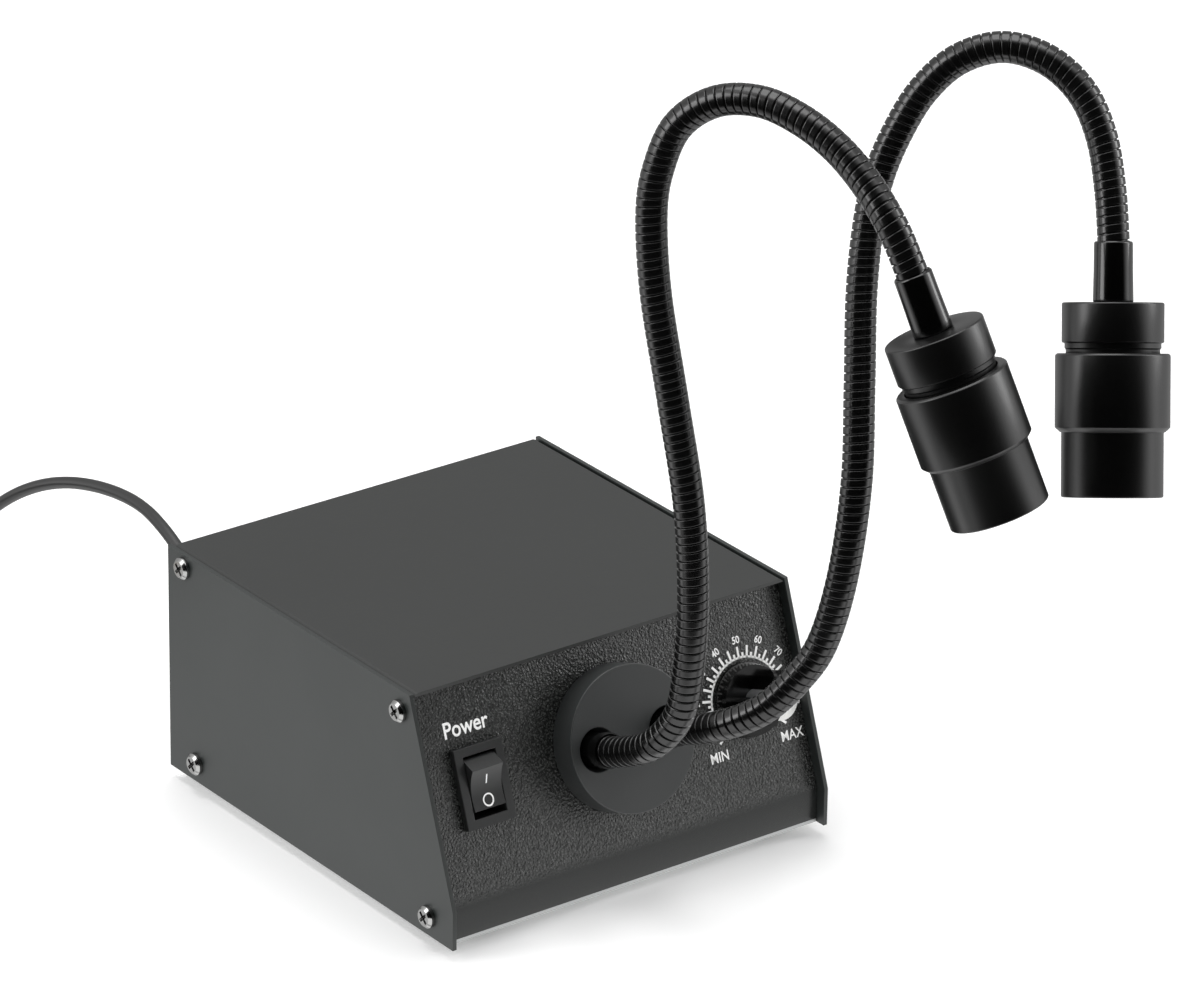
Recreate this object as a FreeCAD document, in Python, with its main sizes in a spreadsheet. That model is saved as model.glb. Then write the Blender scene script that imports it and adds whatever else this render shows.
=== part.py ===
import FreeCAD, Part
import math
import os
import Sketcher
from FreeCAD import Placement, Rotation, Vector

# A bench light with two gooseneck arms: a flat-sided housing with a sloping panel, a dimmer
# knob, a rocker switch and two ribbed hoses that end in focusing heads.
# Millimetres. X to the right and Y to the back as seen from the front, Z up.
# The origin is on the bench, below the middle of the housing.

os.makedirs("parts", exist_ok=True)
doc = FreeCAD.newDocument("GooseneckLight")
sheet = doc.addObject("Spreadsheet::Sheet", "Sizes")

SIZES = {
    # Housing
    "HousingWidth": 120, "HousingDepth": 127.5, "HousingHeight": 64, "FootHeight": 3,
    "PlateThickness": 1.2, "SheetThickness": 1, "SlopeSetback": 19.1, "LipHeight": 10.6,
    "PanelInset": 3, "PanelFlange": 10, "CoverFlange": 12, "CoverBendRadius": 1.8,
    "RearInset": 1.5, "RearFlange": 8, "SheetGap": 0.1, "HoleGap": 0.1, "TrayFlange": 12,
    "FlangeStart": 20, "CoverNotch": 5,
    # Fasteners and feet
    "ScrewRadius": 1.5, "ScrewLength": 5, "HeadRadius": 3, "HeadHeight": 1.8, "CrossWidth": 0.9,
    "CrossDepth": 1, "TopRearBack": 7.5, "TopRearDown": 3.8, "LowRearBack": 12.5, "LowRearUp": 5.4,
    "TopFrontIn": 23.2, "TopFrontDown": 5.8, "LowFrontIn": 10.5, "LowFrontUp": 5.5,
    "FootRadius": 6, "FootFromSide": 15, "FootFromFront": 14.25, "FootFromRear": 14.25,
    "FootRecess": 1.6, "FootScrewLength": 5.5,
    # Light port and light engine
    "PortUp": 29.7, "PortRadius": 19.25, "PortThickness": 8.2, "PortSpacing": 22,
    "MouthRadius": 5.7, "MouthDepth": 3.5, "FerruleWall": 0.35, "FerruleDepth": 22.5,
    "CollarReach": 5, "EngineWidth": 48, "EngineHeight": 26, "EngineDepth": 20,
    "EngineScrewInset": 3, "LensThickness": 3, "LensLift": 0.3, "LedBoardThickness": 1.6,
    "LedRadius": 2.2, "LedHeight": 1.2, "SinkBase": 4, "SinkHeight": 42, "FinCount": 7,
    "FinThickness": 1.4, "FinHeight": 16, "FinPitch": 5.2,
    # Hoses and fibre bundles
    "HoseRadius": 4, "HoseRib": 0.45, "HoseBore": 2.7, "BundleRadius": 2.4, "RibPitch": 2.2,
    "SocketGap": 0.3, "SocketDepth": 6, "SocketFloor": 0.2, "HoseSeat": 1,
    # Focusing heads, along their own axis from the top of the cap
    "NeckTopRadius": 4.8, "NeckBaseRadius": 5, "NeckLength": 15, "NeckSpigot": 4,
    "SpigotRadius": 3.4, "CapRadius": 12.6, "CapLength": 10, "BarrelRadius": 11.9,
    "BarrelLength": 18, "BarrelWall": 1.6, "FocusGap": 2.5, "SleeveRadius": 14.2,
    "SleeveLength": 19.4, "SleeveChamfer": 1.2, "TubeLength": 16, "SlideGap": 0.05,
    "LensRadius": 10.9, "HeadLensThickness": 3, "ShoulderDepth": 8, "ShoulderWidth": 1,
    "RingThickness": 1.4, "LensRise": 1.3, "EdgeBreak": 0.3,
    # Dimmer
    "DialFromSide": 17.8, "DialUp": 28.4, "KnobRadius": 10, "SkirtHeight": 3, "SkirtDraft": 0.8,
    "GripRadius": 6.4, "KnobHeight": 13, "GripHollow": 7, "GripWidth": 5, "PointerReach": 9.4,
    "PointerWidth": 3, "PointerDrop": 3, "PointerAngle": 58, "KnobLift": 0.6, "KnobRoof": 2,
    "NutClearance": 0.5, "ShaftRadius": 3, "ShaftLength": 19, "BushRadius": 3.5, "BushLength": 3,
    "PotRadius": 8, "PotDepth": 9, "PotFloor": 2, "ShaftLift": 0.3, "PotTabWidth": 2.4,
    "PotTabReach": 3, "PotTabPitch": 5, "PotTabThickness": 1, "NutWidth": 10, "NutHeight": 1.6,
    "FitGap": 0.05, "SpotRadius": 5.4, "SpotAcross": 10.3, "SpotDown": 2.8, "SpotThickness": 0.2,
    # Rocker switch
    "SwitchFromSide": 17.5, "SwitchUp": 29, "BezelWidth": 15, "BezelHeight": 21,
    "BezelThickness": 2, "CaseWidth": 13, "CaseHeight": 18.6, "CaseDepth": 14, "WindowWidth": 10,
    "WindowHeight": 16.2, "WindowDepth": 6, "RockerHalf": 7.4, "RockerRise": 3.3, "RockerDip": 1.35,
    "RockerSlant": 1.9, "RockerEnd": 0.9, "RockerFoot": 4.4, "RockerTaper": 0.8, "RockerGap": 0.25,
    "RockerAngle": 13, "PivotUp": 0.5, "PivotRadius": 1, "PivotWall": 0.4, "PivotEndGap": 0.2,
    "TabWidth": 4.8, "TabLength": 7, "TabThickness": 0.8, "TabSpacing": 8,
    # Driver board
    "BoardWidth": 62, "BoardDepth": 48, "BoardThickness": 1.6, "BoardFromRear": 33.75,
    "StandoffRadius": 2.5, "StandoffHeight": 5, "StandoffInset": 4,
    # Supply lead and its adapter
    "CordRadius": 1.7, "CordX": -31, "CordZ": 40.5, "BootLength": 25, "BootRadius": 4.2,
    "BootTip": 2.3, "BootFlange": 6, "BootRim": 2, "CoilX": -94, "CoilY": 254, "CoilRadius": 24,
    "CoilPitch": 3.9, "CoilLoops": 3, "CoilLayers": 4, "CoilLead": 10, "CoilTail": 14,
    "AdapterLength": 58, "AdapterWidth": 34, "AdapterBoot": 14, "AdapterBootWall": 1.5,
    "PinRadius": 2, "PinLength": 18, "PinSpacing": 19,
    # Vents
    "VentCount": 8, "VentWidth": 2.4, "VentHeight": 26, "VentPitch": 6.4, "VentFromSide": 34,
}
for row, (alias, size) in enumerate(SIZES.items(), start=1):
    sheet.set(f"A{row}", alias)
    sheet.set(f"B{row}", str(size))
    sheet.setAlias(f"B{row}", alias)
doc.recompute()
v = {alias: float(sheet.get(alias)) for alias in SIZES}
nodes = []


def value(expression):
    """A size worked out from the sheet, as a plain number."""
    result = sheet.evalExpression(expression)
    return float(getattr(result, "Value", result))


def in_sheet(expression):
    """The same expression as other objects of the document write it."""
    words = []
    word = ""
    for letter in expression + " ":
        if letter.isalnum():
            word += letter
        else:
            words.append("Sizes." + word if word in SIZES else word)
            words.append(letter)
            word = ""
    return "".join(words).strip()


def bind(thing, **sizes):
    for name, expression in sizes.items():
        thing.setExpression(name, in_sheet(str(expression)))
    return thing


def node(name, thing):
    """Names a finished sub-part, whose file takes that name."""
    thing.Label = name
    nodes.append(thing)
    return thing


# Places: the world, or the sloping panel with its own axes across, up the slope and out of it.

tilt = math.atan2(v["SlopeSetback"], v["HousingHeight"] - v["LipHeight"])
bend_y = -v["HousingDepth"] / 2
bend_z = v["FootHeight"] + v["LipHeight"]
panel = -v["PanelInset"]
panel_back = panel - v["SheetThickness"]
out_of_slope = Vector(0, -math.cos(tilt), math.sin(tilt))
slope_turn = Rotation(Vector(1, 0, 0), 90 - math.degrees(tilt))


def slope_point(across, up, out):
    along = Vector(0, math.sin(tilt), math.cos(tilt))
    return Vector(across, bend_y, bend_z) + along * up + out_of_slope * out


def on_slope(across, up, out, turn=0):
    return Placement(slope_point(across, up, out), slope_turn * Rotation(Vector(0, 0, 1), turn))


def at(x, y, z, turn=None):
    return Placement(Vector(x, y, z), turn or Rotation())


SIDEWAYS = Rotation(Vector(0, 1, 0), 90)
BACKWARDS = Rotation(Vector(1, 0, 0), -90)


def box(name, place, length, width, height):
    thing = doc.addObject("Part::Box", name)
    bind(thing, Length=length, Width=width, Height=height)
    thing.Placement = place
    return thing


def centred_box(name, across, up, out, length, width, height):
    """A box on the slope whose middle is at a point and whose lower face is at a level."""
    corner = on_slope(across - value(length) / 2, up - value(width) / 2, out)
    return box(name, corner, length, width, height)


def rod(name, place, radius, height):
    thing = doc.addObject("Part::Cylinder", name)
    bind(thing, Radius=radius, Height=height)
    thing.Placement = place
    return thing


def cone(name, place, radius, tip, height):
    thing = doc.addObject("Part::Cone", name)
    bind(thing, Radius1=radius, Radius2=tip, Height=height)
    thing.Placement = place
    return thing


def fuse(name, shapes):
    thing = doc.addObject("Part::MultiFuse", name)
    thing.Shapes = shapes
    return thing


def group(name, shapes):
    thing = doc.addObject("Part::Compound", name)
    thing.Links = shapes
    return thing


def cut(name, base, tools):
    thing = doc.addObject("Part::Cut", name)
    thing.Base = base
    thing.Tool = tools[0] if len(tools) == 1 else fuse(name + "_tools", tools)
    return thing


def plane_of(body, role):
    return next(plane for plane in body.Origin.OriginFeatures if plane.Role == role)


def profile(body, name, role, corners):
    """A closed sketch whose corners are pairs of expressions on one of the body's planes."""
    sketch = body.newObject("Sketcher::SketchObject", name)
    sketch.AttachmentSupport = (plane_of(body, role), [""])
    sketch.MapMode = "FlatFace"
    points = [Vector(value(x), value(y), 0) for x, y in corners]
    for start, end in zip(points, points[1:] + points[:1]):
        sketch.addGeometry(Part.LineSegment(start, end), False)
    count = len(points)
    for edge in range(count):
        sketch.addConstraint(Sketcher.Constraint("Coincident", edge, 2, (edge + 1) % count, 1))
    for edge, (point, (x, y)) in enumerate(zip(points, corners)):
        for kind, size, expression in (("DistanceX", point.x, x), ("DistanceY", point.y, y)):
            index = sketch.addConstraint(Sketcher.Constraint(kind, -1, 1, edge, 1, size))
            sketch.setExpression(f"Constraints[{index}]", in_sheet(expression))
    return sketch


def pad(body, name, sketch, length, midplane=False):
    feature = body.newObject("PartDesign::Pad", name)
    feature.Profile = sketch
    feature.Midplane = midplane
    bind(feature, Length=length)
    return feature


def pocket(body, name, sketch, length, midplane=False, reverse=False):
    feature = body.newObject("PartDesign::Pocket", name)
    feature.Profile = sketch
    feature.Midplane = midplane
    feature.Reversed = reverse
    bind(feature, Length=length)
    return feature


# Housing

half_width = v["HousingWidth"] / 2
floor = v["FootHeight"]
top = v["FootHeight"] + v["HousingHeight"]
back_y = v["HousingDepth"] / 2
inner_half = half_width - v["PlateThickness"]
dial_across = half_width - v["DialFromSide"]
switch_across = v["SwitchFromSide"] - half_width

SCREW_PLACES = [
    (back_y - v["TopRearBack"], top - v["TopRearDown"]),
    (back_y - v["LowRearBack"], floor + v["LowRearUp"]),
    (v["TopFrontIn"] - back_y, top - v["TopFrontDown"]),
    (v["LowFrontIn"] - back_y, floor + v["LowFrontUp"]),
]
SIDES = {"left": -1, "right": 1}


def screw_holes(name, side, radius):
    """Sideways holes through everything near one side plate, one for each screw."""
    start = side * (half_width + 1) - (0 if side < 0 else v["ScrewLength"])
    return [rod(f"{name}_hole_{index}", at(start, y, z, SIDEWAYS), radius, "ScrewLength")
            for index, (y, z) in enumerate(SCREW_PLACES)]


def side_plate(word, side):
    body = doc.addObject("PartDesign::Body", "plate_body_" + word)
    outline = profile(body, "plate_outline_" + word, "YZ_Plane", [
        ("-HousingDepth / 2", "FootHeight"),
        ("-HousingDepth / 2", "FootHeight + LipHeight"),
        ("-HousingDepth / 2 + SlopeSetback", "FootHeight + HousingHeight"),
        ("HousingDepth / 2", "FootHeight + HousingHeight"),
        ("HousingDepth / 2", "FootHeight"),
    ])
    pad(body, "plate_pad_" + word, outline, "PlateThickness")
    body.Placement = at(-half_width if side < 0 else inner_half, 0, 0)
    holes = screw_holes("plate_" + word, side, "ScrewRadius + HoleGap")
    return node("side_plate_" + word, cut("plate_" + word, body, holes))


def pan_head_screw(name, place):
    """A cross-recessed screw whose shank runs along the place's own Z axis."""
    shank = rod(name + "_shank", place, "ScrewRadius - FitGap", "ScrewLength")
    head = rod(name + "_head", place.multiply(at(0, 0, -v["HeadHeight"])), "HeadRadius", "HeadHeight")
    turned = place.multiply(Placement(Vector(), Rotation(Vector(0, 0, 1), 45)))
    arms = [
        box(f"{name}_cross_{index}", turned.multiply(Placement(corner, Rotation())), *sizes)
        for index, (corner, sizes) in enumerate((
            (Vector(-v["HeadRadius"] * 0.6, -v["CrossWidth"] / 2, -v["HeadHeight"]),
             ("HeadRadius * 1.2", "CrossWidth", "CrossDepth")),
            (Vector(-v["CrossWidth"] / 2, -v["HeadRadius"] * 0.6, -v["HeadHeight"]),
             ("CrossWidth", "HeadRadius * 1.2", "CrossDepth")),
        ))
    ]
    rounded = doc.addObject("Part::Chamfer", name + "_rounded")
    rounded.Base = head
    doc.recompute()
    rim = [index for index, edge in enumerate(head.Shape.Edges, start=1)
           if isinstance(edge.Curve, Part.Circle)
           and edge.CenterOfMass.distanceToPoint(place.Base) > v["HeadHeight"] / 2]
    rounded.Edges = [(index, v["HeadHeight"] * 0.4, v["HeadRadius"] * 0.25) for index in rim]
    return cut(name, fuse(name + "_blank", [shank, rounded]), arms)


def side_screws():
    screws = []
    for word, side in SIDES.items():
        turn = SIDEWAYS if side < 0 else Rotation(Vector(0, 1, 0), -90)
        for index, (y, z) in enumerate(SCREW_PLACES):
            place = at(side * half_width, y, z, turn)
            screws.append(pan_head_screw(f"screw_{word}_{index}", place))
    return node("side_screws", group("side_screw_group", screws))


def front_panel():
    """One bent sheet: the slope, the lip below it, and flanges along every edge."""
    lean = "SlopeSetback / (HousingHeight - LipHeight)"
    slant = "sqrt(1 + (" + lean + ") ^ 2)"
    face = "-HousingDepth / 2 + PanelInset"
    bottom = "FootHeight + SheetThickness"
    high = "FootHeight + HousingHeight - SheetThickness"

    def on_face(height, inset):
        rise = f"({height}) - FootHeight - LipHeight"
        return f"-HousingDepth / 2 + ({rise}) * {lean} + ({inset}) * {slant}"

    def bend(inset):
        """The height where the slope, moved in by the inset, meets the upright lip."""
        return f"FootHeight + LipHeight - ({inset}) * ({slant} - 1) / ({lean})"

    body = doc.addObject("PartDesign::Body", "panel_body")
    deep = "PanelInset + PanelFlange"
    outline = profile(body, "panel_outline", "YZ_Plane", [
        (face, bottom),
        (face, bend("PanelInset")),
        (on_face(high, "PanelInset"), high),
        (on_face(high, deep), high),
        (f"-HousingDepth / 2 + {deep}", bend(deep)),
        (f"-HousingDepth / 2 + {deep}", bottom),
    ])
    width = "HousingWidth - 2 * PlateThickness - 2 * SheetGap"
    pad(body, "panel_pad", outline, width, midplane=True)
    skin = "PanelInset + SheetThickness"
    past = "PanelInset + PanelFlange + 5"
    low_in = bottom + " + SheetThickness"
    high_in = high + " - SheetThickness"
    hollow = profile(body, "panel_hollow", "YZ_Plane", [
        (f"-HousingDepth / 2 + {skin}", low_in),
        (f"-HousingDepth / 2 + {skin}", bend(skin)),
        (on_face(high_in, skin), high_in),
        (on_face(high_in, past), high_in),
        (f"-HousingDepth / 2 + {past}", bend(past)),
        (f"-HousingDepth / 2 + {past}", low_in),
    ])
    pocket(body, "panel_pocket", hollow, width + " - 2 * SheetThickness", midplane=True)
    through = "SheetThickness + 4"
    low = panel_back - 2
    ports = [rod(f"panel_port_{side}", on_slope(side * v["PortSpacing"] / 2, v["PortUp"], low),
                 "HoseRadius + SocketGap + FerruleWall + HoleGap", through) for side in (-1, 1)]
    window = centred_box("panel_switch_cut", switch_across, v["SwitchUp"], low,
                         "CaseWidth + 2 * HoleGap", "CaseHeight + 2 * HoleGap", through)
    spindle = rod("panel_spindle_cut", on_slope(dial_across, v["DialUp"], low),
                  "BushRadius + HoleGap", through)
    holes = screw_holes("panel_left", -1, "ScrewRadius") + screw_holes("panel_right", 1, "ScrewRadius")
    holes += [rod(f"panel_foot_hole_{index}", at(x, y, floor), "ScrewRadius + HoleGap",
                  "FootScrewLength") for index, (x, y) in enumerate(foot_places())]
    return node("front_panel", cut("panel", body, ports + [window, spindle] + holes))


def top_cover():
    """A bent sheet over the whole top, with side flanges behind the front panel's own."""
    body = doc.addObject("PartDesign::Body", "cover_body")
    edge = "HousingWidth / 2 - PlateThickness - SheetGap"
    inner = edge + " - SheetThickness"
    high = "FootHeight + HousingHeight"
    low = high + " - CoverFlange"
    under = high + " - SheetThickness"
    section = profile(body, "cover_section", "XZ_Plane", [
        (f"-({edge})", low), (f"-({edge})", high), (edge, high), (edge, low),
        (inner, low), (inner, under), (f"-({inner})", under), (f"-({inner})", low),
    ])
    length = "HousingDepth - SlopeSetback - RearInset + SheetThickness / 2"
    bent = pad(body, "cover_pad", section, length)
    body.Placement = at(0, back_y - v["RearInset"] + v["SheetThickness"] / 2, 0)
    doc.recompute()
    rims = [f"Edge{index}" for index, line in enumerate(bent.Shape.Edges, start=1)
            if abs(line.CenterOfMass.z - top) < 0.01 and abs(line.CenterOfMass.x) > 1]
    roundings = body.newObject("PartDesign::Fillet", "cover_bends")
    roundings.Base = (bent, rims)
    bind(roundings, Radius="CoverBendRadius")
    body.Tip = roundings
    start = -back_y - 1
    notch = box("cover_notch", at(-half_width, start, top - v["CoverFlange"] - 1),
                "HousingWidth", "SlopeSetback + PanelInset + PanelFlange + CoverNotch",
                "CoverFlange + 1 - SheetThickness")
    holes = screw_holes("cover_left", -1, "ScrewRadius") + screw_holes("cover_right", 1, "ScrewRadius")
    return node("top_cover", cut("cover", body, [notch] + holes))


def base_tray():
    """The floor of the housing, with side flanges that take the lower screws."""
    width = "HousingWidth - 2 * PlateThickness - 2 * SheetGap"
    front = -back_y + v["PanelInset"]
    edge = -inner_half + v["SheetGap"]
    plate = box("tray_floor", at(edge, front, floor), width,
                "HousingDepth - PanelInset - RearInset", "SheetThickness")
    flanges = []
    for side, x in ((-1, edge), (1, -edge - v["SheetThickness"])):
        flanges.append(box(f"tray_flange_{side}", at(x, front + v["FlangeStart"], floor),
                           "SheetThickness", "HousingDepth - PanelInset - RearInset - FlangeStart",
                           "TrayFlange"))
    tray = fuse("tray_blank", [plate] + flanges)
    holes = [rod(f"tray_foot_hole_{index}", at(x, y, floor - 1), "ScrewRadius", "SheetThickness + 2")
             for index, (x, y) in enumerate(foot_places())]
    holes += screw_holes("tray_left", -1, "ScrewRadius") + screw_holes("tray_right", 1, "ScrewRadius")
    return node("base_tray", cut("tray", tray, holes))


def rear_panel():
    """A shallow pan that closes the back, with vent slots and the cord's hole."""
    inset = v["PlateThickness"] + 2 * v["SheetGap"] + v["SheetThickness"]
    front = back_y - v["RearInset"] - v["RearFlange"]
    width = "HousingWidth - 2 * PlateThickness - 2 * SheetThickness - 4 * SheetGap"
    blank = box("rear_blank", at(-half_width + inset, front, floor + v["SheetThickness"]),
                width, "RearFlange", "HousingHeight - 2 * SheetThickness")
    hollow = box("rear_hollow", at(-half_width - 1, front - 1, floor + 2 * v["SheetThickness"]),
                 "HousingWidth + 2", "RearFlange + 1 - SheetThickness",
                 "HousingHeight - 4 * SheetThickness")
    cable = rod("rear_cable_hole", at(v["CordX"], back_y - 5, v["CordZ"], BACKWARDS),
                "BootRadius - HoleGap", "10")
    middle = floor + v["HousingHeight"] / 2
    vents = []
    for index in range(int(v["VentCount"])):
        step = (index - (v["VentCount"] - 1) / 2) * v["VentPitch"]
        x = half_width - v["VentFromSide"] + step - v["VentWidth"] / 2
        vents.append(box(f"rear_vent_{index}", at(x, back_y - 5, middle - v["VentHeight"] / 2),
                         "VentWidth", "10", "VentHeight"))
    return node("rear_panel", cut("rear", blank, [hollow, cable] + vents))


def foot_places():
    x = half_width - v["FootFromSide"]
    front = v["FootFromFront"] - back_y
    rear = back_y - v["FootFromRear"]
    return [(-x, front), (-x, rear), (x, front), (x, rear)]


def feet():
    pads = []
    screws = []
    for index, (x, y) in enumerate(foot_places()):
        puck = rod(f"foot_puck_{index}", at(x, y, 0), "FootRadius", "FootHeight")
        recess = rod(f"foot_recess_{index}", at(x, y, -1), "HeadRadius + HoleGap", "FootRecess + 1")
        hole = rod(f"foot_hole_{index}", at(x, y, 0), "ScrewRadius + HoleGap", "FootHeight + 1")
        pads.append(cut(f"foot_{index}", puck, [recess, hole]))
        head = rod(f"foot_screw_head_{index}", at(x, y, v["FootRecess"] / 4),
                   "HeadRadius", "FootRecess * 0.75")
        shank = rod(f"foot_screw_shank_{index}", at(x, y, v["FootRecess"]),
                    "ScrewRadius - FitGap", "FootScrewLength")
        screws.append(fuse(f"foot_screw_{index}", [head, shank]))
    node("feet", group("foot_group", pads))
    node("foot_screws", group("foot_screw_group", screws))


# Light port, light engine and what it stands on

def port_places(out):
    return [on_slope(side * v["PortSpacing"] / 2, v["PortUp"], out) for side in (-1, 1)]


def light_port():
    ferrule = "HoseRadius + SocketGap + FerruleWall"
    disc = rod("port_disc", on_slope(0, v["PortUp"], panel), "PortRadius", "PortThickness")
    face = panel + v["PortThickness"]
    tools = []
    for index, (low, mouth) in enumerate(zip(port_places(panel - 1), port_places(face - v["MouthDepth"]))):
        tools.append(rod(f"port_hole_{index}", low, ferrule + " + HoleGap", "PortThickness + 2"))
        tools.append(cone(f"port_mouth_{index}", mouth, ferrule + " + HoleGap", "MouthRadius", "MouthDepth"))
    node("light_port_disc", cut("port", disc, tools))
    ferrules = []
    for index, place in enumerate(port_places(face - v["FerruleDepth"])):
        outer = rod(f"ferrule_outer_{index}", place, ferrule, "FerruleDepth + CollarReach")
        bore = rod(f"ferrule_bore_{index}", place, "HoseRadius + SocketGap",
                   "FerruleDepth + CollarReach")
        ferrules.append(cut(f"ferrule_{index}", outer, [bore]))
    node("hose_ferrules", group("ferrule_group", ferrules))


def light_engine():
    ferrule = "HoseRadius + SocketGap + FerruleWall + HoleGap"
    block_out = panel_back - v["EngineDepth"]
    block = centred_box("engine_blank", 0, v["PortUp"], block_out, "EngineWidth", "EngineHeight",
                        "EngineDepth")
    bores = [rod(f"engine_bore_{index}", place, ferrule, "EngineDepth")
             for index, place in enumerate(port_places(block_out))]
    screw_x = v["EngineWidth"] / 2 - v["EngineScrewInset"]
    screw_y = v["EngineHeight"] / 2 - v["EngineScrewInset"]
    screw_spots = [(x * screw_x, v["PortUp"] + y * screw_y) for x in (-1, 1) for y in (-1, 1)]
    taps = [rod(f"engine_tap_{index}", on_slope(x, up, block_out), "ScrewRadius", "ScrewLength * 2")
            for index, (x, up) in enumerate(screw_spots)]
    node("engine_block", cut("engine", block, bores + taps))
    lenses = [rod(f"collector_lens_{index}", place, ferrule + " - HoleGap", "LensThickness")
              for index, place in enumerate(port_places(block_out + v["LedHeight"] + v["LensLift"]))]
    node("collector_lenses", group("collector_lens_group", lenses))
    board_out = block_out - v["LedBoardThickness"]
    board = centred_box("led_board_blank", 0, v["PortUp"], board_out, "EngineWidth",
                        "EngineHeight", "LedBoardThickness")
    leds = [rod(f"led_{index}", place, "LedRadius", "LedHeight")
            for index, place in enumerate(port_places(block_out))]
    holes = [rod(f"led_board_hole_{index}", on_slope(x, up, board_out - 1), "ScrewRadius + HoleGap",
                 "LedBoardThickness + 2") for index, (x, up) in enumerate(screw_spots)]
    node("led_board", cut("led_board_drilled", fuse("led_board_fused", [board] + leds), holes))
    sink_out = board_out - v["SinkBase"]
    plate = centred_box("sink_base", 0, v["PortUp"], sink_out, "EngineWidth", "SinkHeight", "SinkBase")
    fins = []
    for index in range(int(v["FinCount"])):
        across = (index - (v["FinCount"] - 1) / 2) * v["FinPitch"]
        fins.append(centred_box(f"sink_fin_{index}", across, v["PortUp"], sink_out - v["FinHeight"],
                                "FinThickness", "SinkHeight", "FinHeight"))
    drills = [rod(f"sink_hole_{index}", on_slope(x, up, sink_out - 1), "ScrewRadius + HoleGap",
                  "SinkBase + 2") for index, (x, up) in enumerate(screw_spots)]
    node("heat_sink", cut("sink", fuse("sink_fused", [plate] + fins), drills))
    screws = []
    for index, (x, up) in enumerate(screw_spots):
        head = rod(f"engine_screw_head_{index}", on_slope(x, up, sink_out - v["HeadHeight"]),
                   "HeadRadius - HoleGap", "HeadHeight")
        shank = rod(f"engine_screw_shank_{index}", on_slope(x, up, sink_out),
                    "ScrewRadius - FitGap", "SinkBase + LedBoardThickness + ScrewLength")
        screws.append(fuse(f"engine_screw_{index}", [head, shank]))
    node("engine_screws", group("engine_screw_group", screws))


# What stands on the driver board: across and back from its middle, then the sizes.
BOARD_CANS = {"capacitor": (-20, 10, 5, 14), "capacitor_small": (-20, -4, 4, 11)}
BOARD_BLOCKS = {"inductor": (-6, -2, 12, 12, 7), "lead_block": (12, 12, 15, 8, 10),
                "led_block": (8, -22, 10, 7, 8), "chip": (-4, -16, 6, 5, 1.6)}


def driver_board():
    """The supply and dimmer electronics on four standoffs at the back of the tray."""
    deck = floor + v["SheetThickness"]
    middle = back_y - v["BoardFromRear"]
    half_x = v["BoardWidth"] / 2 - v["StandoffInset"]
    half_y = v["BoardDepth"] / 2 - v["StandoffInset"]
    posts = [rod(f"standoff_{x}_{y}", at(x * half_x, middle + y * half_y, deck),
                 "StandoffRadius", "StandoffHeight") for x in (-1, 1) for y in (-1, 1)]
    node("board_standoffs", group("standoff_group", posts))
    board_z = deck + v["StandoffHeight"]
    corner = at(-v["BoardWidth"] / 2, middle - v["BoardDepth"] / 2, board_z)
    node("driver_board", box("driver_board_blank", corner, "BoardWidth", "BoardDepth", "BoardThickness"))
    level = board_z + v["BoardThickness"]
    parts = [rod("driver_" + word, at(x, middle + y, level), str(radius), str(height))
             for word, (x, y, radius, height) in BOARD_CANS.items()]
    parts += [box("driver_" + word, at(x, middle + y, level), *map(str, sizes))
              for word, (x, y, *sizes) in BOARD_BLOCKS.items()]
    node("driver_parts", group("driver_part_group", parts))


# Dimmer

def dimmer():
    across = dial_across
    up = v["DialUp"]
    hole = "ShaftRadius + FitGap"
    case = rod("pot_case", on_slope(across, up, panel_back - v["PotDepth"]), "PotRadius", "PotDepth")
    bush = rod("pot_bush", on_slope(across, up, panel_back), "BushRadius", "BushLength")
    low = up - v["PotRadius"]
    tabs = [centred_box(f"pot_tab_{index}", across + (index - 1) * v["PotTabPitch"], low,
                        panel_back - v["PotDepth"], "PotTabWidth", "2 * PotTabReach",
                        "PotTabThickness") for index in range(3)]
    deep = v["PotDepth"] - v["PotFloor"]
    bore = rod("pot_bore", on_slope(across, up, panel_back - deep), hole, "PotDepth + BushLength")
    node("pot_body", cut("pot", fuse("pot_blank", [case, bush] + tabs), [bore]))
    nut = doc.addObject("Part::Prism", "pot_nut_blank")
    nut.Polygon = 6
    bind(nut, Circumradius="NutWidth / sqrt(3)", Height="NutHeight")
    nut.Placement = on_slope(across, up, panel)
    thread = rod("pot_nut_thread", on_slope(across, up, panel - 1), "BushRadius + FitGap", "NutHeight + 2")
    node("pot_nut", cut("pot_nut_cut", nut, [thread]))
    shaft_foot = on_slope(across, up, panel_back - deep + v["ShaftLift"])
    node("pot_shaft", rod("pot_shaft_rod", shaft_foot, "ShaftRadius", "ShaftLength"))


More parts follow.
